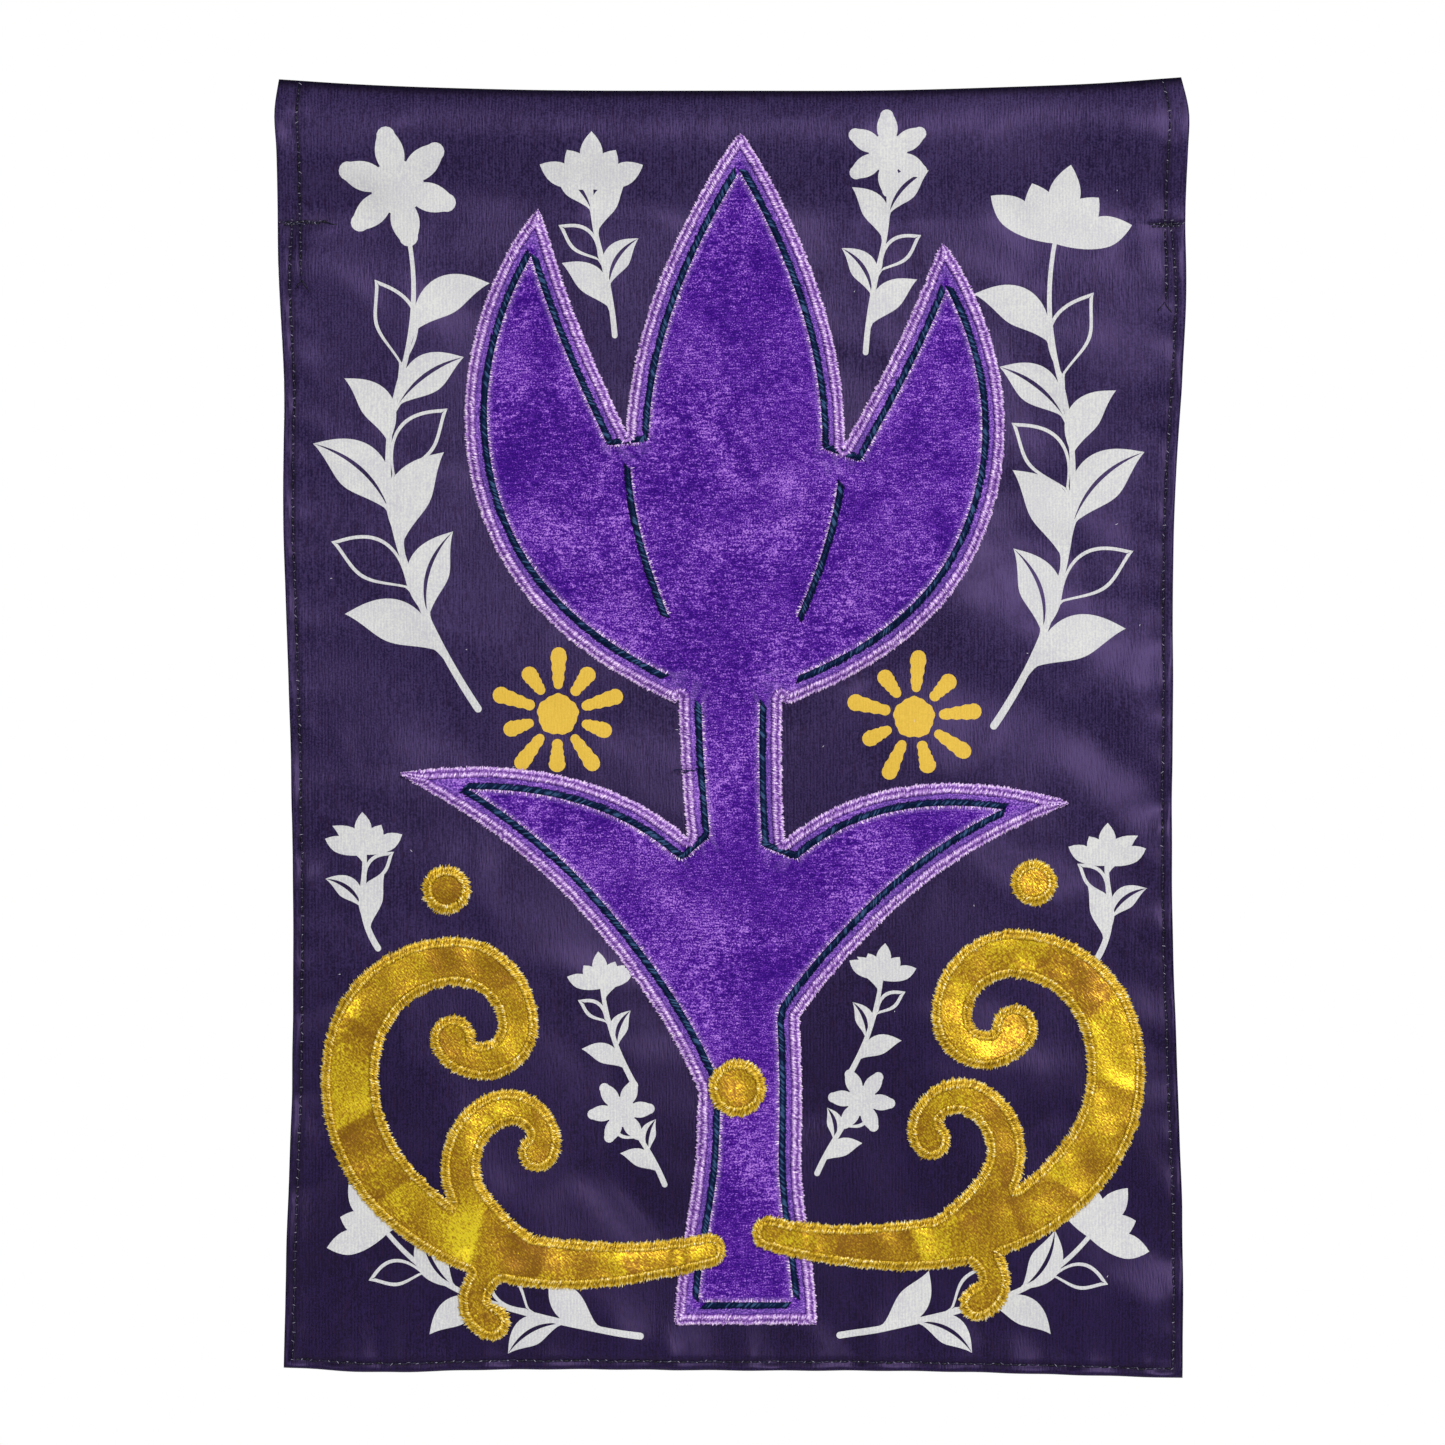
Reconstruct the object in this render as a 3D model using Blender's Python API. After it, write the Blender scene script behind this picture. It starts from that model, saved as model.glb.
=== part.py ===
"""Applique garden flag, hanging from the sleeve along its top edge.

The cloth hangs in the XZ plane with its decorated face towards -Y. The origin is at the middle of
the folded top edge, +X runs along the sleeve and +Z is up. All sizes are in metres.
"""

import math
from collections import namedtuple

import bpy
import numpy as np
from mathutils import Vector
from mathutils.geometry import delaunay_2d_cdt

# Flag cloth: one length folded double at the top edge, so it is two layers thick.
FLAG_WIDTH = 0.3175
FLAG_DROP = 0.4493
LAYER = 0.001
COLUMNS = 30
ROWS_BELOW_SLEEVE = 40

# Sleeve: the top of the doubled cloth, open at both sides for a pole.
SLEEVE_DEPTH = 0.0455
SLEEVE_GAP = 0.0104
SLEEVE_SEAM_GAP = 0.0004
FOLD_THICKNESS = 0.0012
SLEEVE_ROWS = (0.0015, 0.0065, 0.0135, 0.0215, 0.0295, 0.0370, 0.0425, SLEEVE_DEPTH)

# Appliques: how far each lies off what carries it, and how thick it is.
SEAT_GAP = 0.0006
VELVET_THICKNESS = 0.0015
LAME_THICKNESS = 0.0010

# Where the lame climbs onto the velvet: the ramp's top and foot, as distances outside its edge.
RAMP_TOP = 0.0007
RAMP_FOOT = 0.0055

# Spacing of the points along outlines, and how far inside them the cloth's own points are used.
OUTLINE_STEP = 0.0075
BEND_STEP = 16.0
LEAST_STEP = 0.0012
INNER_MARGIN = 0.0028

# Where the side edges run, at each height: the sides draw in towards the middle of the drop.
Side = namedtuple("Side", "height left right")
SIDES = (
    Side(0.0047, -0.1588, 0.1578),
    Side(-0.0075, -0.1602, 0.1602),
    Side(-0.0209, -0.1595, 0.1599),
    Side(-0.0455, -0.1595, 0.1594),
    Side(-0.0735, -0.1585, 0.1595),
    Side(-0.1000, -0.1571, 0.1583),
    Side(-0.1437, -0.1574, 0.1557),
    Side(-0.2139, -0.1553, 0.1550),
    Side(-0.2841, -0.1539, 0.1546),
    Side(-0.3543, -0.1546, 0.1567),
    Side(-0.4070, -0.1564, 0.1583),
    Side(-0.4516, -0.1574, 0.1581),
)

# Where the top fold and the bottom hem run, at each place across: the top sags between its corners.
Rim = namedtuple("Rim", "across top bottom")
RIMS = (
    Rim(-0.1588, 0.0040, -0.4484),
    Rim(-0.1340, 0.0024, -0.4498),
    Rim(-0.0813, 0.0005, -0.4487),
    Rim(0.0000, 0.0000, -0.4493),
    Rim(0.0591, 0.0002, -0.4496),
    Rim(0.0942, 0.0012, -0.4502),
    Rim(0.1293, 0.0026, -0.4509),
    Rim(0.1588, 0.0047, -0.4516),
)

# Soft folds, each along a line from one place to another; a height above 0 stands towards -Y.
Fold = namedtuple("Fold", "x0 z0 x1 z1 reach height")
FOLDS = (
    Fold(-0.150, -0.060, -0.116, -0.078, 0.018, 0.0022),
    Fold(0.150, -0.064, 0.122, -0.090, 0.019, 0.0024),
    Fold(-0.156, -0.225, -0.034, -0.226, 0.013, -0.0014),
    Fold(-0.138, -0.196, -0.100, -0.221, 0.016, -0.0018),
    Fold(0.028, -0.203, 0.114, -0.212, 0.019, -0.0026),
    Fold(0.070, -0.178, 0.138, -0.208, 0.016, 0.0024),
    Fold(0.098, -0.154, 0.148, -0.190, 0.017, -0.0022),
    Fold(-0.068, -0.260, -0.016, -0.318, 0.020, -0.0026),
    Fold(0.128, -0.366, 0.154, -0.380, 0.015, 0.0020),
    Fold(0.130, -0.386, 0.150, -0.402, 0.015, -0.0018),
    Fold(-0.120, -0.318, -0.086, -0.410, 0.022, 0.0020),
    Fold(0.060, -0.300, 0.092, -0.400, 0.022, 0.0018),
    Fold(0.010, -0.090, 0.004, -0.180, 0.034, 0.0016),
)

# Hollows pressed into the sleeve's front layer alone, by the two ends of the sleeve's seam.
SLEEVE_HOLLOWS = (
    Fold(-0.150, -0.034, -0.062, -0.036, 0.013, -0.0012),
    Fold(0.100, -0.014, 0.158, -0.040, 0.013, -0.0013),
)

# Long waves of the hanging cloth: they grow towards the free bottom hem.
Wave = namedtuple("Wave", "length phase lean height")
WAVES = (
    Wave(0.205, 0.6, 0.25, 0.0022),
    Wave(0.118, 2.1, -0.18, 0.0009),
)

# Puckers of the hems: short waves along the bottom and the sides that fade inwards.
HEM_PUCKER = 0.0009
HEM_PUCKER_LENGTH = 0.0260
HEM_PUCKER_FADE = 0.020
SIDE_PUCKER = 0.0007
SIDE_PUCKER_LENGTH = 0.0310
SIDE_PUCKER_FADE = 0.014

# Tulip cut from velvet: petals and leaves bow sideways from base to tip.
Blade = namedtuple("Blade", "x0 z0 x1 z1 bow width")
PETALS = (
    Blade(0.000, -0.204, 0.003, -0.016, 0.00, 0.076),
    Blade(-0.012, -0.206, -0.068, -0.042, 0.14, 0.058),
    Blade(0.012, -0.206, 0.074, -0.054, -0.14, 0.058),
)
LEAVES = (
    Blade(0.002, -0.392, -0.116, -0.240, -0.23, 0.046),
    Blade(0.000, -0.374, 0.118, -0.250, 0.24, 0.044),
)

# Strokes: each run bends by its turn in degrees while the width changes to its own.
Start = namedtuple("Start", "x z heading width")
Run = namedtuple("Run", "length turn width")
STEM_START = Start(0.000, -0.196, -92.0, 0.036)
STEM_RUNS = (
    Run(0.080, 8.0, 0.033),
    Run(0.094, -8.0, 0.036),
    Run(0.063, 2.0, 0.049),
)

# Scrolls cut from gold lame, with smaller curls that branch off at a length along the stroke.
Curl = namedtuple("Curl", "at lean width runs")
LEFT_SCROLL_START = Start(-0.0080, -0.4070, 194.0, 0.011)
LEFT_SCROLL_RUNS = (
    Run(0.064, -22.0, 0.017),
    Run(0.058, -42.0, 0.020),
    Run(0.054, -56.0, 0.019),
    Run(0.046, -72.0, 0.016),
    Run(0.036, -92.0, 0.013),
    Run(0.024, -110.0, 0.012),
    Run(0.010, -60.0, 0.015),
)
LEFT_SCROLL_CURLS = (
    Curl(
        0.054,
        -14.0,
        0.010,
        (Run(0.036, -34.0, 0.013), Run(0.037, -96.0, 0.012), Run(0.020, -92.0, 0.010), Run(0.010, -70.0, 0.013)),
    ),
    Curl(0.040, 0.0, 0.009, (Run(0.026, -6.0, 0.011), Run(0.020, 75.0, 0.010), Run(0.014, 90.0, 0.012))),
)
RIGHT_SCROLL_START = Start(0.0130, -0.4010, -14.0, 0.011)
RIGHT_SCROLL_RUNS = (
    Run(0.062, 22.0, 0.017),
    Run(0.056, 42.0, 0.020),
    Run(0.052, 56.0, 0.019),
    Run(0.045, 72.0, 0.016),
    Run(0.035, 92.0, 0.013),
    Run(0.023, 110.0, 0.012),
    Run(0.010, 60.0, 0.015),
)
RIGHT_SCROLL_CURLS = (
    Curl(
        0.050,
        14.0,
        0.010,
        (Run(0.036, 34.0, 0.013), Run(0.035, 96.0, 0.012), Run(0.020, 92.0, 0.010), Run(0.010, 70.0, 0.013)),
    ),
    Curl(0.038, 0.0, 0.009, (Run(0.026, 6.0, 0.011), Run(0.019, -75.0, 0.010), Run(0.014, -90.0, 0.012))),
)
Berry = namedtuple("Berry", "x z radius")
BERRIES = (
    Berry(-0.100, -0.2805, 0.0080),
    Berry(0.106, -0.2780, 0.0075),
    Berry(0.002, -0.350, 0.0095),
)
BERRY_SIDES = 18

# Colours seen on the cloth, as linear values.
PURPLE_CLOTH = (0.034, 0.021, 0.074, 1.0)
PURPLE_VELVET = (0.105, 0.024, 0.352, 1.0)
GOLD_LAME = (0.578, 0.305, 0.007, 1.0)


def smooth_between(at, places, values):
    """Values read from a smooth curve through a table's rows."""
    at = np.clip(at, min(places), max(places))
    order = np.argsort(places)
    x = np.asarray(places, float)[order]
    y = np.asarray(values, float)[order]
    slope = np.gradient(y, x)
    i = np.clip(np.searchsorted(x, at) - 1, 0, len(x) - 2)
    span = x[i + 1] - x[i]
    t = (at - x[i]) / span
    rise = y[i] * (1 + 2 * t) * (1 - t) ** 2 + y[i + 1] * t * t * (3 - 2 * t)
    return rise + span * (slope[i] * t * (1 - t) ** 2 - slope[i + 1] * t * t * (1 - t))


def rim_height(across, column):
    places = [rim.across for rim in RIMS]
    return smooth_between(across, places, [getattr(rim, column) for rim in RIMS])


def place_on_flag(u, down):
    """Hanging place (x, z) of the cloth at a share u of its width and a length down from the fold."""
    flat_x = (u - 0.5) * FLAG_WIDTH
    above = np.clip(1 - down / SLEEVE_DEPTH, 0, 1)
    below = np.clip((down - SLEEVE_DEPTH) / (FLAG_DROP - SLEEVE_DEPTH), 0, 1)
    z = -down + above * rim_height(flat_x, "top") + below * (rim_height(flat_x, "bottom") + FLAG_DROP)
    heights = [side.height for side in SIDES]
    left = smooth_between(z, heights, [side.left for side in SIDES])
    right = smooth_between(z, heights, [side.right for side in SIDES])
    return left + u * (right - left), z


def fold_relief(folds, x, z):
    """Sum of the soft ridges and troughs, each fading with the distance from its line."""
    relief = np.zeros_like(x)
    for fold in folds:
        along = np.array([fold.x1 - fold.x0, fold.z1 - fold.z0])
        share = ((x - fold.x0) * along[0] + (z - fold.z0) * along[1]) / (along @ along)
        share = np.clip(share, 0, 1)
        away = np.hypot(x - fold.x0 - share * along[0], z - fold.z0 - share * along[1])
        relief += fold.height * np.exp(-((away / fold.reach) ** 2))
    return relief


def cloth_relief(x, z):
    """How far the middle of the cloth stands towards -Y."""
    hanging = np.clip((-z - SLEEVE_DEPTH) / (FLAG_DROP - SLEEVE_DEPTH), 0, 1)
    relief = fold_relief(FOLDS, x, z) * np.clip(-z / SLEEVE_DEPTH, 0, 1) ** 2
    for wave in WAVES:
        turn = 2 * math.pi * (x + wave.lean * z) / wave.length + wave.phase
        relief += wave.height * np.sqrt(hanging) * np.sin(turn)
    hem = np.exp(-((FLAG_DROP + z) / HEM_PUCKER_FADE) ** 2)
    relief += HEM_PUCKER * hem * np.sin(2 * math.pi * x / HEM_PUCKER_LENGTH + 9 * x / FLAG_WIDTH)
    side = np.exp(-((FLAG_WIDTH / 2 - np.abs(x)) / SIDE_PUCKER_FADE) ** 2) * np.sqrt(hanging)
    relief += SIDE_PUCKER * side * np.sin(2 * math.pi * z / SIDE_PUCKER_LENGTH + 5 * np.sign(x))
    return relief


def sleeve_half_gap(down):
    share = np.clip(down / SLEEVE_DEPTH, 0, 1)
    return (SLEEVE_SEAM_GAP + (SLEEVE_GAP - SLEEVE_SEAM_GAP) * np.sin(math.pi * share)) / 2


def cloth_rows():
    below = np.linspace(SLEEVE_DEPTH, FLAG_DROP, ROWS_BELOW_SLEEVE + 1)[1:]
    return np.concatenate([[0.0], SLEEVE_ROWS, below])


def cloth_grid():
    """Places and heights of the cloth's skins, one row for each length down from the fold."""
    down, u = np.meshgrid(cloth_rows(), np.linspace(0, 1, COLUMNS + 1), indexing="ij")
    x, z = place_on_flag(u, down)
    middle = -cloth_relief(x, z)
    in_sleeve = down < SLEEVE_DEPTH + 1e-6
    belly = np.where(in_sleeve, sleeve_half_gap(down), 0.0)
    hollow = np.where(in_sleeve, fold_relief(SLEEVE_HOLLOWS, x, z), 0.0)
    hollow *= np.sin(math.pi * np.clip(down / SLEEVE_DEPTH, 0, 1))
    front_inner = middle - belly - hollow
    back_inner = middle + belly
    return {
        "x": x,
        "z": z,
        "middle": middle,
        "front": front_inner - LAYER,
        "front_inner": front_inner,
        "back_inner": back_inner,
        "back": back_inner + LAYER,
    }


GRID = cloth_grid()


def material(name, colour, roughness, metallic=0.0):
    made = bpy.data.materials.new(name)
    made.use_nodes = True
    shader = made.node_tree.nodes["Principled BSDF"]
    shader.inputs["Base Color"].default_value = colour
    shader.inputs["Roughness"].default_value = roughness
    shader.inputs["Metallic"].default_value = metallic
    made.diffuse_color = colour
    return made


def object_from(name, points, faces, surface):
    mesh = bpy.data.meshes.new(name)
    mesh.from_pydata([tuple(point) for point in points], [], faces)
    mesh.validate()
    mesh.shade_smooth()
    mesh.set_sharp_from_angle(angle=math.radians(40))
    mesh.materials.append(surface)
    made = bpy.data.objects.new(name, mesh)
    bpy.context.scene.collection.objects.link(made)
    return made


def flag_cloth(surface):
    """One closed solid: the doubled cloth with its hems, and the open sleeve through its top."""
    rows, columns = GRID["x"].shape
    sleeve_end = len(SLEEVE_ROWS)
    points = []
    number = {}

    def add(skin, row, column, y, drop=0.0):
        number[skin, row, column] = len(points)
        points.append((GRID["x"][row, column], y, GRID["z"][row, column] - drop))

    for column in range(columns):
        middle = GRID["middle"][0, column]
        add("front", 0, column, middle)
        number["back", 0, column] = number["front", 0, column]
        add("front_inner", 0, column, middle, FOLD_THICKNESS)
        number["back_inner", 0, column] = number["front_inner", 0, column]
        for row in range(1, rows):
            add("front", row, column, GRID["front"][row, column])
            add("back", row, column, GRID["back"][row, column])
        for row in range(1, sleeve_end + 1):
            add("front_inner", row, column, GRID["front_inner"][row, column])
            add("back_inner", row, column, GRID["back_inner"][row, column])

    faces = []

    def skin_faces(skin, row_count, turned):
        """Two triangles for each cell, always split along the same diagonal."""
        for row in range(row_count):
            for column in range(columns - 1):
                a = number[skin, row, column]
                b = number[skin, row, column + 1]
                c = number[skin, row + 1, column + 1]
                d = number[skin, row + 1, column]
                for triangle in ((a, d, c), (a, c, b)):
                    if len(set(triangle)) == 3:
                        faces.append(triangle[::-1] if turned else triangle)

    skin_faces("front", rows - 1, False)
    skin_faces("back", rows - 1, True)
    skin_faces("front_inner", sleeve_end, True)
    skin_faces("back_inner", sleeve_end, False)
    for column in range(columns - 1):
        faces.append((
            number["front_inner", sleeve_end, column],
            number["front_inner", sleeve_end, column + 1],
            number["back_inner", sleeve_end, column + 1],
            number["back_inner", sleeve_end, column],
        ))
        faces.append((
            number["front", rows - 1, column],
            number["back", rows - 1, column],
            number["back", rows - 1, column + 1],
            number["front", rows - 1, column + 1],
        ))
    for column, turned in ((0, False), (columns - 1, True)):
        walls = []
        for row in range(sleeve_end):
            walls.append([
                number["front", row, column],
                number["front_inner", row, column],
                number["front_inner", row + 1, column],
                number["front", row + 1, column],
            ])
            walls.append([
                number["back_inner", row, column],
                number["back", row, column],
                number["back", row + 1, column],
                number["back_inner", row + 1, column],
            ])
        walls.append([
            number["front", sleeve_end, column],
            number["front_inner", sleeve_end, column],
            number["back_inner", sleeve_end, column],
            number["back", sleeve_end, column],
            number["back", sleeve_end + 1, column],
            number["front", sleeve_end + 1, column],
        ])
        for row in range(sleeve_end + 1, rows - 1):
            walls.append([
                number["front", row, column],
                number["back", row, column],
                number["back", row + 1, column],
                number["front", row + 1, column],
            ])
        faces.extend(wall[::-1] if turned else wall for wall in walls)
    return object_from("flag_cloth", points, faces, surface)


def share_and_down(x, z):
    """The share of the width and the length down from the fold at a hanging place."""
    u = x / FLAG_WIDTH + 0.5
    down = -z
    for _ in range(8):
        found_x, found_z = place_on_flag(u, down)
        u = u + (x - found_x) / FLAG_WIDTH
        down = down - (z - found_z)
    return u, down


def front_face_at(x, z):
    """Height of the cloth's faceted front skin under a place, read from its own triangles."""
    u, down = share_and_down(x, z)
    rows = cloth_rows()
    row = np.clip(np.searchsorted(rows, down) - 1, 0, len(rows) - 2)
    column = np.clip((u * COLUMNS).astype(int), 0, COLUMNS - 1)
    a = u * COLUMNS - column
    b = (down - rows[row]) / (rows[row + 1] - rows[row])
    front = GRID["front"]
    corner = front[row, column]
    far = front[row + 1, column + 1]
    below = front[row + 1, column]
    beside = front[row, column + 1]
    lower = corner + b * (below - corner) + a * (far - below)
    upper = corner + a * (beside - corner) + b * (far - beside)
    return np.where(b > a, lower, upper)


def stroke_line(start, runs, step=OUTLINE_STEP):
    """Centre line of a stroke, a row for each place: x, z and width."""
    x, z, angle, width = start.x, start.z, math.radians(start.heading), start.width
    line = [(x, z, width)]
    for run in runs:
        count = max(2, math.ceil(run.length / step), math.ceil(abs(run.turn) / BEND_STEP))
        half_turn = math.radians(run.turn) / count / 2
        for i in range(1, count + 1):
            angle += half_turn
            x += math.cos(angle) * run.length / count
            z += math.sin(angle) * run.length / count
            angle += half_turn
            share = i / count
            line.append((x, z, width + (run.width - width) * share * share * (3 - 2 * share)))
        width = run.width
    return np.array(line)


def blade_line(blade, profile, step=OUTLINE_STEP):
    """Centre line of a petal or leaf: it bows to its left by a share of its length."""
    base = np.array([blade.x0, blade.z0])
    along = np.array([blade.x1, blade.z1]) - base
    count = max(5, math.ceil(np.linalg.norm(along) / step))
    t = np.linspace(0, 1, count + 1)
    side = np.array([-along[1], along[0]])
    line = base + np.outer(t, along) + np.outer(4 * blade.bow * t * (1 - t), side)
    return np.column_stack([line, blade.width * profile(t)])


def sides_of(line):
    """Points to the left and right of a centre line, and its directions."""
    along = np.gradient(line[:, :2], axis=0)
    along /= np.linalg.norm(along, axis=1)[:, None]
    left = np.column_stack([-along[:, 1], along[:, 0]])
    half = line[:, 2:3] / 2
    return line[:, :2] + left * half, line[:, :2] - left * half, along, left


def round_end(centre, radius, left, along, corners=3):
    turns = np.linspace(0, math.pi, corners + 2)[1:-1]
    return centre + radius * (np.outer(np.cos(turns), left) + np.outer(np.sin(turns), along))


def stroke_outline(line, round_ends=True):
    """Closed outline of a stroke, with round or cut ends."""
    one, two, along, left = sides_of(line)
    if not round_ends:
        return np.concatenate([one, two[::-1]])
    far = round_end(line[-1, :2], line[-1, 2] / 2, left[-1], along[-1])
    near = round_end(line[0, :2], line[0, 2] / 2, -left[0], -along[0])
    return np.concatenate([one, far, two[::-1], near])


def pointed_outline(line):
    """Closed outline of a leaf or petal with a pointed tip and a narrow or pointed base."""
    one, two, _, _ = sides_of(line)
    has_broad_base = line[0, 2] > 1e-6
    back_way = two[-2::-1] if has_broad_base else two[-2:0:-1]
    return np.concatenate([one, back_way])


def petal_profile(t):
    """Width of a petal along its length: full above its base, drawn to a point."""
    fullest = 0.42
    base_width = 0.40
    low = base_width + (1 - base_width) * np.sin(np.minimum(t / fullest, 1) * math.pi / 2)
    high = np.cos(np.clip((t - fullest) / (1 - fullest), 0, 1) * math.pi / 2)
    return np.where(t < fullest, low, np.maximum(high, 0) ** 0.85)


def leaf_profile(t, fullest=0.5):
    """Width of a leaf along its length: pointed at both ends."""
    rise = np.where(t < fullest, t / fullest, (1 - t) / (1 - fullest))
    return np.sin(np.clip(rise, 0, 1) * math.pi / 2) ** 0.9


def curl_line(line, curl):
    """Centre line of a curl that springs from the middle of a stroke and leans off its way."""
    _, _, along, _ = sides_of(line)
    lengths = lengths_along(line[:, :2])
    x, z = (np.interp(curl.at, lengths, values) for values in line[:, :2].T)
    way_x, way_z = (np.interp(curl.at, lengths, values) for values in along.T)
    heading = math.degrees(math.atan2(way_z, way_x)) + curl.lean
    return stroke_line(Start(x, z, heading, curl.width), curl.runs)


def lengths_along(line):
    steps = np.linalg.norm(np.diff(line, axis=0), axis=1)
    return np.concatenate([[0.0], np.cumsum(steps)])


def tulip_outlines():
    outlines = [pointed_outline(blade_line(petal, petal_profile)) for petal in PETALS]
    outlines += [pointed_outline(blade_line(leaf, leaf_profile)) for leaf in LEAVES]
    outlines.append(stroke_outline(stroke_line(STEM_START, STEM_RUNS), round_ends=False))
    return outlines


def scroll_outlines(start, runs, curls):
    line = stroke_line(start, runs)
    outlines = [stroke_outline(line)]
    outlines += [stroke_outline(curl_line(line, curl)) for curl in curls]
    return outlines


def berry_outline(berry):
    turns = np.linspace(0, 2 * math.pi, BERRY_SIDES + 1)[:-1]
    circle = np.column_stack([np.cos(turns), np.sin(turns)])
    return np.array([berry.x, berry.z]) + berry.radius * circle


def turned_left(outline):
    """The outline in the sense that keeps its inside on the left."""
    after = np.roll(outline, -1, axis=0)
    area = (outline[:, 0] * after[:, 1] - after[:, 0] * outline[:, 1]).sum() / 2
    return outline if area > 0 else outline[::-1]


def triangles_inside(points, edges, faces):
    """Triangles that fill the faces and keep to the edges, with the places of their corners."""
    flat, _, triangles, _, _, sources = delaunay_2d_cdt(points, edges, faces, 0, 1e-6)
    triangles = [tuple(triangle) for triangle, source in zip(triangles, sources) if source]
    used = sorted({corner for triangle in triangles for corner in triangle})
    renumber = {old: new for new, old in enumerate(used)}
    triangles = [tuple(renumber[corner] for corner in triangle) for triangle in triangles]
    return np.array([flat[corner] for corner in used]), triangles


def rim_edges(triangles):
    """The triangles' edges that no other triangle shares, each in its triangle's sense."""
    ways = {(a, b) for corners in triangles for a, b in zip(corners, corners[1:] + corners[:1])}
    return [(a, b) for a, b in sorted(ways) if (b, a) not in ways]


def joined_outline(outlines):
    """One closed outline round overlapping shapes: the longest loop of their joined rim."""
    points = []
    faces = []
    for outline in map(turned_left, outlines):
        faces.append(list(range(len(points), len(points) + len(outline))))
        points.extend(Vector(point) for point in outline)
    places, triangles = triangles_inside(points, [], faces)
    after = dict(rim_edges(triangles))
    longest = []
    while after:
        corner, following = after.popitem()
        loop = [corner]
        while following in after:
            loop.append(following)
            following = after.pop(following)
        if len(loop) > len(longest):
            longest = loop
    return places[longest]


def distance_inside(x, z, outline):
    """Distance to an outline, above 0 inside it."""
    a = outline
    b = np.roll(outline, -1, axis=0)
    px = x[:, None]
    pz = z[:, None]
    along = b - a
    share = ((px - a[:, 0]) * along[:, 0] + (pz - a[:, 1]) * along[:, 1]) / (along**2).sum(axis=1)
    share = np.clip(share, 0, 1)
    away = np.hypot(px - a[:, 0] - share * along[:, 0], pz - a[:, 1] - share * along[:, 1]).min(axis=1)
    crosses = (a[:, 1] > pz) != (b[:, 1] > pz)
    with np.errstate(divide="ignore", invalid="ignore"):
        reach = a[:, 0] + (pz - a[:, 1]) * along[:, 0] / along[:, 1]
    inside = (crosses & (px < reach)).sum(axis=1) % 2 == 1
    return np.where(inside, away, -away)


def without_crowding(outline):
    """The outline without points that crowd their neighbour, which would make slivers."""
    kept = [outline[0]]
    for point in outline[1:]:
        if np.linalg.norm(point - kept[-1]) > LEAST_STEP:
            kept.append(point)
    if np.linalg.norm(kept[-1] - kept[0]) < LEAST_STEP:
        kept.pop()
    return np.array(kept)


def offset_line(outline, distance):
    """Places at a distance outside a left-turning outline, with the neighbours that stay clear of it."""
    along = np.roll(outline, -1, axis=0) - np.roll(outline, 1, axis=0)
    along /= np.linalg.norm(along, axis=1)[:, None]
    places = outline + distance * np.column_stack([along[:, 1], -along[:, 0]])
    clear = distance_inside(places[:, 0], places[:, 1], outline) < -0.9 * distance
    pairs = [(i, (i + 1) % len(places)) for i in range(len(places))]
    return places, [pair for pair in pairs if clear[pair[0]] and clear[pair[1]]]


def lift_over(x, z, outline):
    """How far a piece rises to pass over the velvet: a short ramp up to its edge."""
    outside = -distance_inside(x, z, outline)
    share = np.clip((RAMP_FOOT - outside) / (RAMP_FOOT - RAMP_TOP), 0, 1)
    return share * (VELVET_THICKNESS + SEAT_GAP)


def cloth_mesh_inside(outline, numbered_from):
    """The cloth's own grid points well inside an outline, and the grid's edges between them."""
    inside = distance_inside(GRID["x"].ravel(), GRID["z"].ravel(), outline) > INNER_MARGIN
    cells = [divmod(int(i), COLUMNS + 1) for i in np.flatnonzero(inside)]
    number = {cell: numbered_from + i for i, cell in enumerate(cells)}
    points = [Vector((GRID["x"][cell], GRID["z"][cell])) for cell in cells]
    edges = []
    for row, column in cells:
        for other in ((row, column + 1), (row + 1, column), (row + 1, column + 1)):
            if other in number:
                edges.append((number[row, column], number[other]))
    return points, edges


def ramp_lines(carrier, outline, numbered_from):
    """The top and foot of the ramp round a carrier, where they lie near a cut-out."""
    points = []
    edges = []
    for distance in (RAMP_TOP, RAMP_FOOT):
        places, pairs = offset_line(carrier, distance)
        near = distance_inside(places[:, 0], places[:, 1], outline) > -2 * OUTLINE_STEP
        first = numbered_from + len(points)
        points.extend(Vector(place) for place in places)
        edges.extend((first + a, first + b) for a, b in pairs if near[a] or near[b])
    return points, edges


def applique(name, outline, thickness, surface, carrier=None):
    """A cut-out that lies on the cloth's front and, with a carrier outline, over that piece too."""
    outline = without_crowding(turned_left(outline))
    points = [Vector(point) for point in outline]
    face = list(range(len(points)))
    more_points, edges = cloth_mesh_inside(outline, len(points))
    points += more_points
    if carrier is not None:
        more_points, more_edges = ramp_lines(carrier, outline, len(points))
        points += more_points
        edges += more_edges
    flat, triangles = triangles_inside(points, edges, [face])

    back = front_face_at(flat[:, 0], flat[:, 1]) - SEAT_GAP
    if carrier is not None:
        back -= lift_over(flat[:, 0], flat[:, 1], carrier)
    count = len(flat)
    solid = [(x, y - thickness, z) for (x, z), y in zip(flat, back)]
    solid += [(x, y, z) for (x, z), y in zip(flat, back)]
    faces = list(triangles)
    faces += [tuple(corner + count for corner in triangle[::-1]) for triangle in triangles]
    faces += [(b, a, a + count, b + count) for a, b in rim_edges(triangles)]
    return object_from(name, solid, faces, surface)


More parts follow.
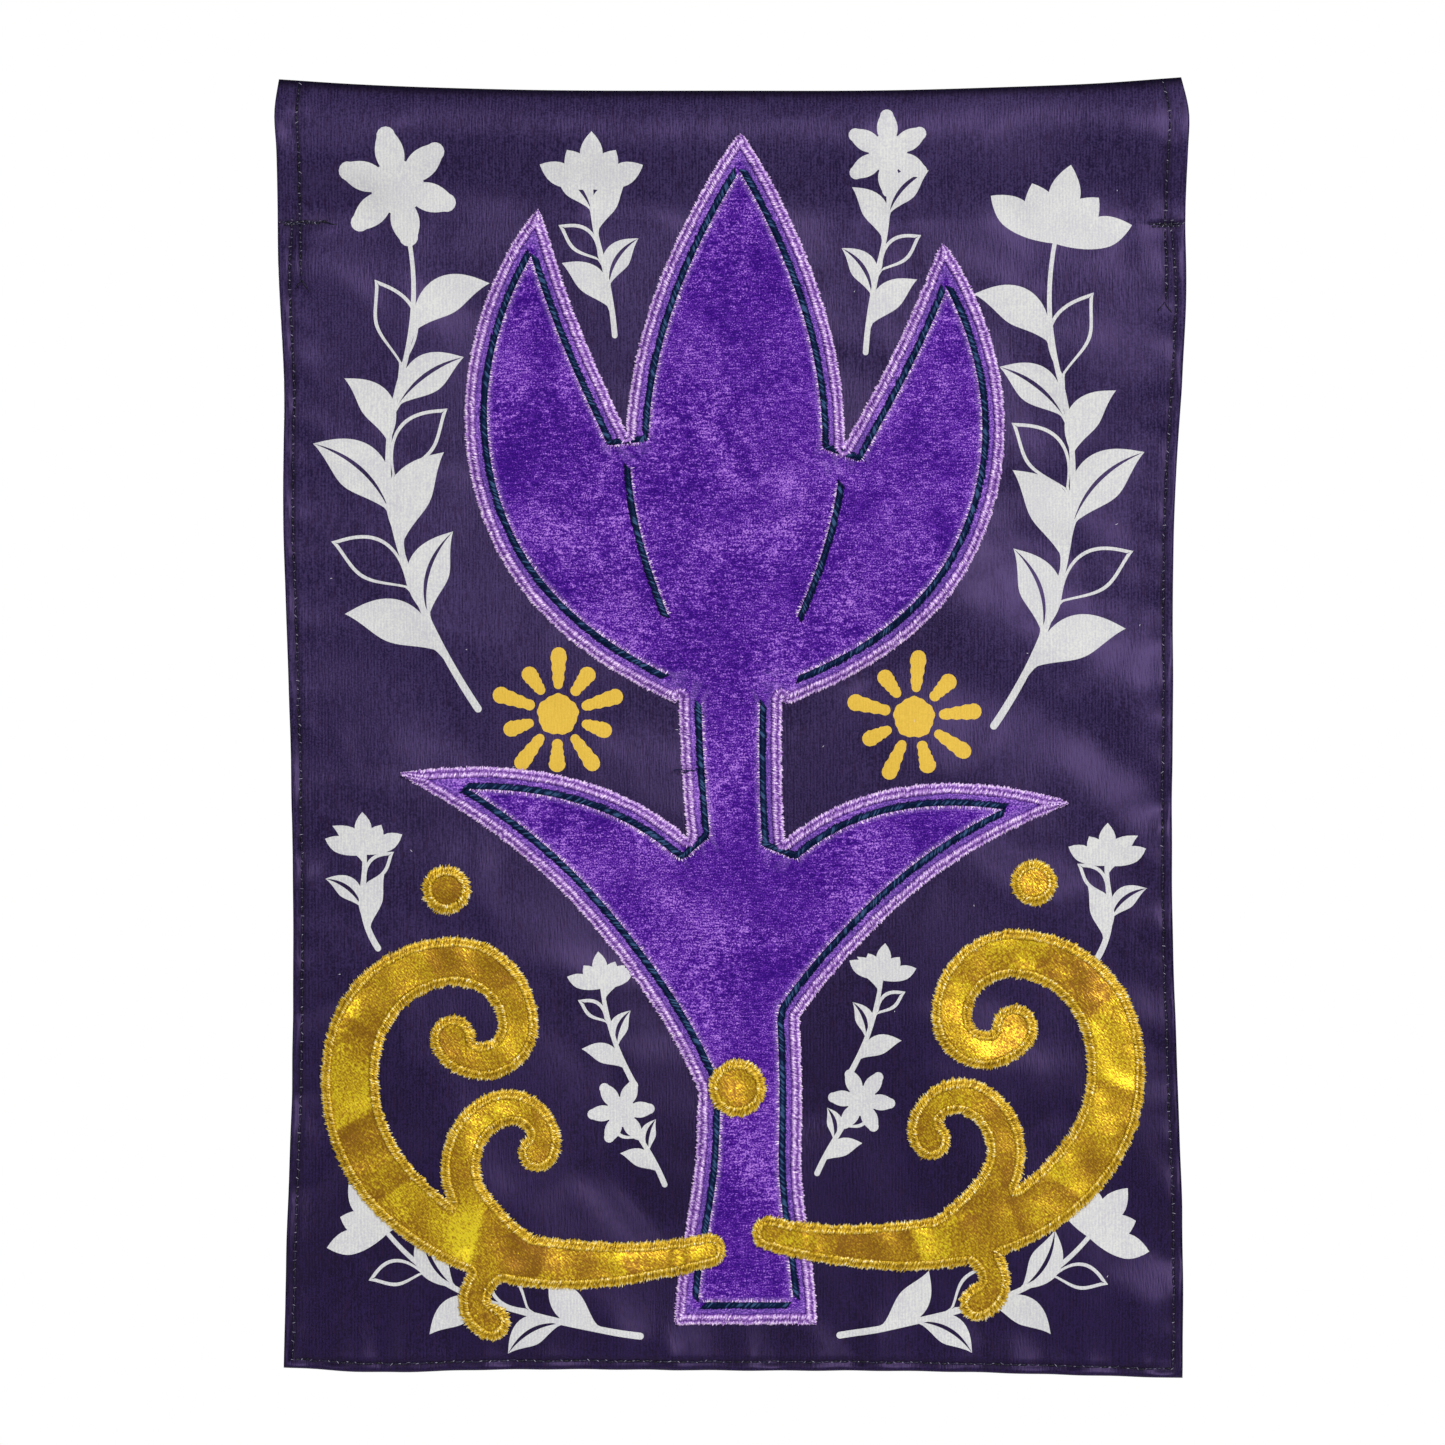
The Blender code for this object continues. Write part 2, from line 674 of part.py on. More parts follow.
def main():
    for old in list(bpy.data.objects):
        bpy.data.objects.remove(old, do_unlink=True)
    cloth = material("purple_cloth", PURPLE_CLOTH, 0.55)
    velvet = material("purple_velvet", PURPLE_VELVET, 0.85)
    lame = material("gold_lame", GOLD_LAME, 0.35, 0.8)
    flag_cloth(cloth)
    tulip = joined_outline(tulip_outlines())
    applique("velvet_tulip", tulip, VELVET_THICKNESS, velvet)
    scrolls = (
        ("gold_scroll_left", LEFT_SCROLL_START, LEFT_SCROLL_RUNS, LEFT_SCROLL_CURLS),
        ("gold_scroll_right", RIGHT_SCROLL_START, RIGHT_SCROLL_RUNS, RIGHT_SCROLL_CURLS),
    )
    for name, start, runs, curls in scrolls:
        outline = joined_outline(scroll_outlines(start, runs, curls))
        applique(name, outline, LAME_THICKNESS, lame, tulip)
    for name, berry in zip(("gold_berry_left", "gold_berry_right", "gold_berry_stem"), BERRIES):
        applique(name, berry_outline(berry), LAME_THICKNESS, lame, tulip)


main()
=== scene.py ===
"""Applique garden flag: the finished cloth, cut-outs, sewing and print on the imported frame.

Sizes are in metres. The flag hangs in the XZ plane from the origin, with its decorated face
towards -Y. Every height over the cloth is measured towards -Y from the cloth's front skin.
"""

import math
from collections import namedtuple

import bpy
import numpy as np
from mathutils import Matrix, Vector
from mathutils.geometry import delaunay_2d_cdt


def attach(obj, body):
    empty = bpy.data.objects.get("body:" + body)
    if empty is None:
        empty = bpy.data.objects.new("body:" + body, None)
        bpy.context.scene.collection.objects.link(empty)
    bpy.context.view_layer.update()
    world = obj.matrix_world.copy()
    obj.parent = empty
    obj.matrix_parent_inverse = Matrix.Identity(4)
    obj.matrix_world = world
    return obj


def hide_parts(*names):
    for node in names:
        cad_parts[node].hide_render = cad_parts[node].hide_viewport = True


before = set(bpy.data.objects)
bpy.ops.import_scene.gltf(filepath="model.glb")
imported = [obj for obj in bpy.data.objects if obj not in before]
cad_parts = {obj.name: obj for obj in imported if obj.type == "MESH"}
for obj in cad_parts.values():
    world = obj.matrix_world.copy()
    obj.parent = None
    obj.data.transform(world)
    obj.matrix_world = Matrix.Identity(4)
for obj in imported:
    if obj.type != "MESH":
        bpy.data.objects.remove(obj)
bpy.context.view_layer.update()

# The flag as it is cut: one length folded double at the top edge.
FLAG_WIDTH = 0.3175
FLAG_DROP = 0.4493
FIELD_LAYER = 0.0006
HEM_LAYER = 0.0010
HEM_WIDTH = 0.0050
EDGE_ROUNDING = 0.0011
GRID_STEP = 0.0028

# The sleeve for the pole, open at both sides.
SLEEVE_DEPTH = 0.0455
SLEEVE_GAP = 0.0104
SLEEVE_SEAM_GAP = 0.0001
SLEEVE_FULLEST = 0.36
FOLD_DEPTH = 0.0007
FOLD_ROUNDING = 0.0016

# Steps inwards from a rounded edge, close together where the cloth turns.
EDGE_STEPS = (
    0.0, 0.0002, 0.0005, 0.0010, 0.0016, 0.0023, 0.0029,
    0.0035, 0.0044, 0.0056, 0.0068, 0.0078, 0.0092, 0.0115,
)
FOLD_STEPS = (0.0, 0.0005, 0.0012, 0.0020, 0.0032, 0.0050, 0.0072)
EDGE_THINNEST = 0.12

# Rows of points in the sleeve, and rows close to the seam that ends it.
SLEEVE_ROWS = 15
ROW_OVER_SEAM = 0.0008
ROWS_UNDER_SEAM = (0.0009, 0.0018)
INSIDE_FIRST_ROW = 2

# Where the side edges run, at each height.
Side = namedtuple("Side", "height left right")
SIDES = (
    Side(0.0047, -0.1588, 0.1578),
    Side(-0.0075, -0.1602, 0.1602),
    Side(-0.0209, -0.1595, 0.1599),
    Side(-0.0455, -0.1595, 0.1594),
    Side(-0.0735, -0.1585, 0.1595),
    Side(-0.1000, -0.1571, 0.1583),
    Side(-0.1437, -0.1574, 0.1557),
    Side(-0.2139, -0.1553, 0.1550),
    Side(-0.2841, -0.1539, 0.1546),
    Side(-0.3543, -0.1546, 0.1567),
    Side(-0.4070, -0.1564, 0.1583),
    Side(-0.4516, -0.1574, 0.1581),
)

# Where the top fold and the bottom hem run, at each place across.
Rim = namedtuple("Rim", "across top bottom")
RIMS = (
    Rim(-0.1588, 0.0040, -0.4484),
    Rim(-0.1340, 0.0024, -0.4498),
    Rim(-0.0813, 0.0005, -0.4487),
    Rim(0.0000, 0.0000, -0.4493),
    Rim(0.0591, 0.0002, -0.4496),
    Rim(0.0942, 0.0012, -0.4502),
    Rim(0.1293, 0.0026, -0.4509),
    Rim(0.1588, 0.0047, -0.4516),
)

# Soft folds along lines; a height above 0 stands towards -Y.
Fold = namedtuple("Fold", "x0 z0 x1 z1 reach height")
FOLDS = (
    Fold(-0.150, -0.060, -0.116, -0.078, 0.018, 0.0022),
    Fold(0.150, -0.064, 0.122, -0.090, 0.019, 0.0024),
    Fold(-0.156, -0.225, -0.034, -0.226, 0.013, -0.0014),
    Fold(-0.138, -0.196, -0.100, -0.221, 0.016, -0.0018),
    Fold(0.028, -0.203, 0.114, -0.212, 0.019, -0.0026),
    Fold(0.070, -0.178, 0.138, -0.208, 0.016, 0.0024),
    Fold(0.098, -0.154, 0.148, -0.190, 0.017, -0.0022),
    Fold(-0.068, -0.260, -0.016, -0.318, 0.020, -0.0026),
    Fold(0.128, -0.366, 0.154, -0.380, 0.015, 0.0020),
    Fold(0.130, -0.386, 0.150, -0.402, 0.015, -0.0018),
    Fold(-0.120, -0.318, -0.086, -0.410, 0.022, 0.0020),
    Fold(0.060, -0.300, 0.092, -0.400, 0.022, 0.0018),
    Fold(0.010, -0.090, 0.004, -0.180, 0.034, 0.0016),
)
SLEEVE_HOLLOWS = (
    Fold(-0.150, -0.034, -0.062, -0.036, 0.013, -0.0012),
    Fold(0.100, -0.014, 0.158, -0.040, 0.013, -0.0013),
)

# Small creases that the solids leave out.
CREASES = (
    Fold(-0.164, -0.044, -0.130, -0.045, 0.0120, -0.0034),
    Fold(-0.154, -0.020, -0.128, -0.030, 0.0080, 0.0009),
    Fold(0.164, -0.045, 0.140, -0.046, 0.0105, -0.0027),
    Fold(0.146, -0.028, 0.120, -0.036, 0.0100, -0.0012),
    Fold(-0.110, -0.022, -0.070, -0.040, 0.0110, -0.0010),
    Fold(-0.150, -0.096, -0.138, -0.130, 0.0085, 0.0010),
    Fold(0.148, -0.110, 0.138, -0.150, 0.0090, -0.0011),
    Fold(0.130, -0.226, 0.152, -0.246, 0.0090, -0.0014),
    Fold(0.118, -0.240, 0.146, -0.268, 0.0080, 0.0010),
    Fold(-0.142, -0.318, -0.152, -0.350, 0.0085, -0.0010),
    Fold(-0.060, -0.420, -0.020, -0.444, 0.0085, 0.0009),
    Fold(0.090, -0.432, 0.140, -0.446, 0.0080, -0.0010),
    Fold(-0.152, -0.252, -0.120, -0.262, 0.005, 0.0005),
    Fold(-0.150, -0.236, -0.118, -0.238, 0.004, -0.0005),
    Fold(-0.068, -0.260, -0.016, -0.318, 0.020, 0.0014),
    Fold(-0.084, -0.250, -0.070, -0.270, 0.006, 0.0003),
    Fold(0.086, -0.196, 0.118, -0.214, 0.005, 0.0007),
    Fold(0.104, -0.186, 0.146, -0.196, 0.005, -0.0007),
    Fold(0.116, -0.168, 0.150, -0.176, 0.004, 0.0005),
    Fold(0.098, -0.044, 0.138, -0.058, 0.006, -0.0006),
    Fold(-0.140, -0.052, -0.120, -0.070, 0.006, -0.0005),
    Fold(0.128, -0.414, 0.152, -0.430, 0.005, 0.0005),
    Fold(-0.146, -0.398, -0.128, -0.420, 0.006, 0.0005),
    Fold(-0.040, -0.436, -0.020, -0.444, 0.004, 0.0004),
    Fold(0.030, -0.432, 0.046, -0.444, 0.004, -0.0004),
)

# Long waves of the hanging cloth: they grow towards the free bottom hem.
Wave = namedtuple("Wave", "length phase lean height")
WAVES = (
    Wave(0.205, 0.6, 0.25, 0.0022),
    Wave(0.118, 2.1, -0.18, 0.0009),
)
HEM_PUCKER = 0.0009
HEM_PUCKER_LENGTH = 0.0260
HEM_PUCKER_DRIFT = 9.0
HEM_PUCKER_FADE = 0.020
SIDE_PUCKER = 0.0007
SIDE_PUCKER_LENGTH = 0.0310
SIDE_PUCKER_PHASE = 5.0
SIDE_PUCKER_FADE = 0.014

# Small unevenness: its height, the size of its swellings, and its seed.
Crumple = namedtuple("Crumple", "height size seed")
CLOTH_CRUMPLES = (Crumple(0.00070, 0.062, 11), Crumple(0.00024, 0.026, 12))
CRUMPLE_BEND_ACROSS = (Crumple(0.010, 0.070, 15),)
CRUMPLE_BEND_DOWN = (Crumple(0.010, 0.070, 16),)
HEM_CRUMPLES = (Crumple(0.00060, 0.0125, 13),)
SIDE_CRUMPLES = (Crumple(0.00050, 0.0135, 14),)
SIDE_CRUMPLE_STRETCH = 0.4
VELVET_CRUMPLES = (Crumple(0.00010, 0.012, 21), Crumple(0.00008, 0.005, 22))
# Painted light and shade that fall unevenly over the lame.
LAME_SHADING = (Crumple(0.16, 0.040, 51), Crumple(0.07, 0.012, 52))
LAME_CRUMPLES = (Crumple(0.00018, 0.016, 53), Crumple(0.00006, 0.006, 54))
NO_FINE_RELIEF_ABOVE = 0.02

# Puckers along an edge start at it, are full within a rise, hold to a start and fade past it.
EdgeBand = namedtuple("EdgeBand", "rise start fade")
HEM_BAND = EdgeBand(0.0035, 0.003, 0.010)
SIDE_BAND = EdgeBand(0.004, 0.0035, 0.008)

# Seams: from one place to another, each given as its distance in from a side and down from the fold.
Seam = namedtuple("Seam", "side in0 down0 in1 down1 pitch")
LEFT = -1
RIGHT = 1
LOCK_PITCH = 0.0032
TACK_PITCH = 0.0020
HEM_SEAM_DOWN = FLAG_DROP - 0.0031
SEAMS = (
    Seam(LEFT, 0.0076, 0.0012, 0.0080, 0.0660, LOCK_PITCH),
    Seam(RIGHT, 0.0068, 0.0012, 0.0072, 0.0740, LOCK_PITCH),
    Seam(LEFT, 0.0052, SLEEVE_DEPTH, 0.0036, 0.0700, LOCK_PITCH),
    Seam(RIGHT, 0.0050, SLEEVE_DEPTH, 0.0036, 0.0720, LOCK_PITCH),
    Seam(LEFT, 0.0036, 0.0700, 0.0031, HEM_SEAM_DOWN, LOCK_PITCH),
    Seam(RIGHT, 0.0036, 0.0720, 0.0034, HEM_SEAM_DOWN, LOCK_PITCH),
    Seam(LEFT, 0.0008, SLEEVE_DEPTH + 0.0006, 0.0172, SLEEVE_DEPTH + 0.0002, TACK_PITCH),
    Seam(LEFT, 0.0020, SLEEVE_DEPTH + 0.0013, 0.0150, SLEEVE_DEPTH + 0.0009, TACK_PITCH),
    Seam(RIGHT, 0.0008, SLEEVE_DEPTH + 0.0010, 0.0130, SLEEVE_DEPTH + 0.0014, TACK_PITCH),
    Seam(RIGHT, 0.0022, SLEEVE_DEPTH + 0.0017, 0.0118, SLEEVE_DEPTH + 0.0021, TACK_PITCH),
    Seam(LEFT, 0.0031, HEM_SEAM_DOWN, 0.1587, HEM_SEAM_DOWN, LOCK_PITCH),
    Seam(RIGHT, 0.0034, HEM_SEAM_DOWN, 0.1587, HEM_SEAM_DOWN, LOCK_PITCH),
)
STITCH_WIDTH = 0.00066
STITCH_PLACES = (0.12, 0.24, 0.40, 0.60, 0.76, 0.88)
STITCH_ARCH = (-0.00030, 0.00005, 0.00016, 0.00016, 0.00005, -0.00030)
STITCH_STRAY = 0.00012
KNOT_LENGTH = 0.00105
KNOT_WIDTH = 0.00026
KNOT_HEIGHT = 0.00020
KNOT_PLACES = (-0.5, -0.2, 0.2, 0.5)
KNOT_ARCH = (-0.00012, 0.00010, 0.00010, -0.00012)
KNOT_STRAY = 0.00015
KNOT_TURNS = (-0.9, 0.9)
KNOT_LENGTHS = (0.5, 1.4)
SEAM_PINCH = 0.55
SEAM_REACH = 0.0011

# Painted shade in the cloth's base colour at the seams and at the top fold: how dark it is, and how far from
# them it reaches.
SEAM_PAINTED_SHADE = 0.95
SEAM_PAINTED_SHADE_REACH = 0.0010
FOLD_PAINTED_SHADE = 0.85
FOLD_PAINTED_SHADE_REACH = 0.0030

# Tulip cut from velvet: petals and leaves bow sideways from base to tip.
Blade = namedtuple("Blade", "x0 z0 x1 z1 bow width")
PETALS = (
    Blade(0.000, -0.204, 0.003, -0.016, 0.00, 0.076),
    Blade(-0.012, -0.206, -0.068, -0.042, 0.14, 0.058),
    Blade(0.012, -0.206, 0.074, -0.054, -0.14, 0.058),
)
LEAVES = (
    Blade(0.002, -0.392, -0.116, -0.240, -0.23, 0.046),
    Blade(0.000, -0.374, 0.118, -0.250, 0.24, 0.044),
)

# Strokes: each run bends by its turn in degrees while the width changes to its own.
Start = namedtuple("Start", "x z heading width")
Run = namedtuple("Run", "length turn width")
STEM_START = Start(0.000, -0.196, -92.0, 0.036)
STEM_RUNS = (
    Run(0.080, 8.0, 0.033),
    Run(0.094, -8.0, 0.036),
    Run(0.063, 2.0, 0.049),
)

# Scrolls cut from gold lame, with smaller curls that branch off at a length along the stroke.
Curl = namedtuple("Curl", "at lean width runs")
LEFT_START = Start(-0.0080, -0.4070, 194.0, 0.011)
LEFT_RUNS = (
    Run(0.064, -22.0, 0.017),
    Run(0.058, -42.0, 0.020),
    Run(0.054, -56.0, 0.019),
    Run(0.046, -72.0, 0.016),
    Run(0.036, -92.0, 0.013),
    Run(0.024, -110.0, 0.012),
    Run(0.010, -60.0, 0.015),
)
LEFT_CURLS = (
    Curl(
        0.054,
        -14.0,
        0.010,
        (
            Run(0.036, -34.0, 0.013),
            Run(0.037, -96.0, 0.012),
            Run(0.020, -92.0, 0.010),
            Run(0.010, -70.0, 0.013),
        ),
    ),
    Curl(0.040, 0.0, 0.009, (Run(0.026, -6.0, 0.011), Run(0.020, 75.0, 0.010), Run(0.014, 90.0, 0.012))),
)
RIGHT_START = Start(0.0130, -0.4010, -14.0, 0.011)
RIGHT_RUNS = (
    Run(0.062, 22.0, 0.017),
    Run(0.056, 42.0, 0.020),
    Run(0.052, 56.0, 0.019),
    Run(0.045, 72.0, 0.016),
    Run(0.035, 92.0, 0.013),
    Run(0.023, 110.0, 0.012),
    Run(0.010, 60.0, 0.015),
)
RIGHT_CURLS = (
    Curl(
        0.050,
        14.0,
        0.010,
        (
            Run(0.036, 34.0, 0.013),
            Run(0.035, 96.0, 0.012),
            Run(0.020, 92.0, 0.010),
            Run(0.010, 70.0, 0.013),
        ),
    ),
    Curl(0.038, 0.0, 0.009, (Run(0.026, 6.0, 0.011), Run(0.019, -75.0, 0.010), Run(0.014, -90.0, 0.012))),
)
Berry = namedtuple("Berry", "x z radius")
BERRIES = (
    ("gold_berry_left", Berry(-0.100, -0.2805, 0.0080)),
    ("gold_berry_right", Berry(0.106, -0.2780, 0.0075)),
    ("gold_berry_stem", Berry(0.002, -0.350, 0.0095)),
)

# Cut-outs: their heights over the cloth, how they slope to their raw edges, the steps of their
# sheets, and how high the edging's thread stands on them.
VELVET_RISE = 0.0013
VELVET_EDGE = 0.0004
VELVET_SLOPE = 0.006
VELVET_STEP = 0.0021
VELVET_INSETS = (0.0012, 0.0028, 0.0040, 0.0050, 0.0060, 0.0070, 0.0077, 0.0084, 0.0096)
LAME_RISE = 0.0005
LAME_SLOPE = 0.003
LAME_STEP = 0.0016
LAME_INSETS = (0.0010, 0.0024)
LAME_OVER_VELVET = 0.0003
CRUMPLE_FREE_EDGE = 0.004
EVEN_ROW = 0.87
RIM_STEP = 0.8
CLEAR_OF_RIM = 0.93
EDGING_CLEARANCE = 0.00005
EDGING_OVER_VELVET = VELVET_RISE - 0.0001
EDGING_OVER_LAME = LAME_RISE + 0.0001
EDGING_CLIMB = 1.1

# Where lame climbs on to the velvet: it starts outside the raw edge, and bulges over the edging.
CLIMB_START = 0.0042
CLIMB_LENGTH = 0.0052
BULGE_INSET = 0.0019
BULGE_REACH = 0.0017
BULGE_HEIGHT = 0.0004

# Finest steps along a line, in metres and in degrees of its bend, and the reach over which its
# way is taken.
OUTLINE_STEP = 0.0024
BEND_STEP = 7.0
WAY_REACH = 0.0008
EDGING_WAY_REACH = 0.0014
ROPE_WAY_REACH = 0.0016
PRINT_STEP = 0.0016
LEAF_STEP = 0.0014
HALF_LEAF_STEP = 0.0012
RAY_STEP = 0.0009
PLACES_AT_ONCE = 4000

# Seeds of the random draws.
SEAM_SEED = 31
VELVET_EDGING_SEED = 41
ROPE_SEED = 43
ENDS_SEED = 44
LINT_SEED = 47
LAME_EDGING_SEED = 61

# Satin edgings. Across the width, from the outer rim to the inner one, the thread stands
# up in two ridges; its shades paint a highlight on both and a shade in the dip between them.
Edging = namedtuple("Edging", "reach overhang pitch thread slant scatter mottle across heights shades")
LAVENDER_EDGING = Edging(
    reach=0.0035,
    overhang=0.0004,
    pitch=0.00034,
    thread=0.00042,
    slant=0.34,
    scatter=0.10,
    mottle=0.27,
    across=(0.0, 0.10, 0.24, 0.40, 0.56, 0.74, 0.90, 1.0),
    heights=(0.00000, 0.00044, 0.00054, 0.00024, 0.00070, 0.00084, 0.00040, -0.00010),
    shades=(0.80, 1.00, 0.85, 0.00, 0.62, 1.00, 0.65, 0.20),
)
GOLD_EDGING = Edging(
    reach=0.0031,
    overhang=0.0006,
    pitch=0.00030,
    thread=0.00036,
    slant=0.34,
    scatter=0.12,
    mottle=0.42,
    across=(0.0, 0.09, 0.21, 0.35, 0.49, 0.63, 0.77, 0.90, 1.0),
    heights=(0.00000, 0.00040, 0.00056, 0.00042, 0.00030, 0.00044, 0.00056, 0.00038, -0.00008),
    shades=(1.00, 0.95, 0.60, 0.30, 0.10, 0.35, 0.85, 0.60, 0.15),
)
REACH_SCATTER = 0.035
OVERHANG_SCATTER = 0.6
OVERHANG_LIMITS = (-0.3, 2.4)
RIDGE_SCATTER = 0.07
HEIGHT_SCATTER = 0.12
EDGING_THREADS = (0.9, 1.2)
LEAN_DRIFT = 0.09
LEAN_DRIFT_LENGTH = 0.030
SHORTER_REACHES = (0.9, 0.75, 0.6, 0.45, 0.3)
CROWDED_SHARE = 0.66
PADDING_DEPTH = 0.00016
# The padding is painted darker, as shade between the stitches.
PADDING_PAINTED_SHADE = 0.75

# Rope stitch inside the velvet's edge: it presses a trough in the pile, and pale ends stick out of it.
ROPE_INSET = 0.0064
ROPE_WIDTH = 0.0028
ROPE_PITCH = 0.00062
ROPE_SLANT = 42.0
ROPE_SLANT_SCATTER = 5.0
ROPE_LENGTH_SCATTER = 0.05
ROPE_THREAD = 0.00066
ROPE_ARCH = (-0.00022, 0.00032, 0.00050, 0.00032, -0.00022)
# Painted glint along each rope stitch, brightest on its crown.
ROPE_GLINT = (0.0, 0.70, 1.80, 1.00, 0.0)
ROPE_TROUGH = 0.0004
ROPE_TROUGH_REACH = 0.0012
ROPE_RUN_STEP = 0.0012
ROPE_RUN_CLEAR = 0.965
ROPE_RUN_SHORTEST = 9
ROPE_RUN_TRIM = 2
SEWING_THREADS = (0.85, 1.15)
PETAL_ROPE_INSET = 0.0105
PETAL_ROPE_LOWEST = -0.186
END_PITCH = 0.00052
END_ROOT = 0.40 * ROPE_WIDTH
END_LEAN_SCATTER = 0.35
END_LENGTH = 0.0011
END_LENGTHS = (0.45, 1.3)
END_THREAD = 0.00036
END_THREADS = (0.8, 1.3)
END_SHADES = (0.4, 0.95)
END_ARCH = (0.00010, 0.00022, 0.00002)
END_TAPER = (1.0, 0.9, 0.45)

# Pale rims where the edging and the rope part the pile, partly painted sheen: how far inside the edge, how
# broad, how strong.
Parting = namedtuple("Parting", "inset reach strength")
PARTINGS = (
    Parting(0.0044, 0.0008, 0.35),
    Parting(ROPE_INSET + ROPE_WIDTH / 2 + 0.0003, 0.0005, 0.35),
)

# Creases pressed across the lame, at a length along the stroke: painted light ahead, painted shade behind.
Crease = namedtuple("Crease", "at lean reach light")
LEFT_CREASES = (
    Crease(0.030, 12.0, 0.011, 0.8),
    Crease(0.058, -18.0, 0.008, -0.7),
    Crease(0.083, 6.0, 0.013, 1.0),
    Crease(0.118, -10.0, 0.009, -0.8),
    Crease(0.146, 15.0, 0.012, 0.9),
    Crease(0.181, -8.0, 0.008, 0.7),
    Crease(0.214, 14.0, 0.007, -0.6),
    Crease(0.243, -12.0, 0.006, 0.7),
)
RIGHT_CREASES = (
    Crease(0.024, -10.0, 0.009, -0.7),
    Crease(0.052, 14.0, 0.012, 0.9),
    Crease(0.088, -8.0, 0.010, -0.8),
    Crease(0.109, 12.0, 0.012, 1.0),
    Crease(0.150, -14.0, 0.009, 0.8),
    Crease(0.178, 8.0, 0.008, -0.7),
    Crease(0.206, -10.0, 0.007, 0.7),
    Crease(0.236, 10.0, 0.006, 0.6),
)

# How far a crease runs, how sharp its painted bright and dark sides start, and what it adds to the painted
# light and to the height.
CREASE_SPAN = 0.020
CREASE_LIT_EDGE = 0.0007
CREASE_DIM_EDGE = 0.0005
CREASE_DIMMING = 0.55
CREASE_LIGHT = 0.42
CREASE_BULGE = 0.00030
LAME_LIGHT = 0.40

# The two scrolls, each under the name of the solid that its sheet replaces.
Scroll = namedtuple("Scroll", "node start runs curls creases")
SCROLLS = (
    Scroll("gold_scroll_left", LEFT_START, LEFT_RUNS, LEFT_CURLS, LEFT_CREASES),
    Scroll("gold_scroll_right", RIGHT_START, RIGHT_RUNS, RIGHT_CURLS, RIGHT_CREASES),
)

# Loose thread ends: where each starts on the flag, its heading in degrees, and its two bends.
LooseThread = namedtuple("LooseThread", "x z heading width length0 turn0 length1 turn1")
THREAD_TAILS = (
    LooseThread(-0.1508, -0.0664, -66.0, 0.00034, 0.0030, 16.0, 0.0020, -30.0),
    LooseThread(-0.1508, -0.0664, -112.0, 0.00034, 0.0026, -22.0, 0.0016, 34.0),
    LooseThread(0.1519, -0.0742, -70.0, 0.00034, 0.0028, 24.0, 0.0018, -20.0),
    LooseThread(0.1519, -0.0742, -118.0, 0.00034, 0.0024, -18.0, 0.0018, 26.0),
    LooseThread(-0.1440, -0.0462, 8.0, 0.00034, 0.0034, -30.0, 0.0022, 40.0),
)
STRAY_THREADS = (
    LooseThread(-0.0205, -0.2385, 6.0, 0.00040, 0.0040, -14.0, 0.0044, 22.0),
    LooseThread(-0.0185, -0.2391, -18.0, 0.00034, 0.0030, 40.0, 0.0022, -30.0),
)
LOOSE_STEP = 0.0005
LOOSE_ARCH = 0.00030
LOOSE_CLEARANCE = 0.00005
LOOSE_SHADE = 0.15
STRAY_RISE = VELVET_RISE + 0.0006

# Specks of white lint: how many, the part of the flag that they lie on, and their sizes.
LINT_COUNT = 46
LINT_ACROSS = (-0.145, 0.145)
LINT_DOWN = (-0.435, -0.012)
LINT_LENGTH = (0.0003, 0.0011)
LINT_WIDTH = 0.00016
LINT_HEIGHT = 0.00012

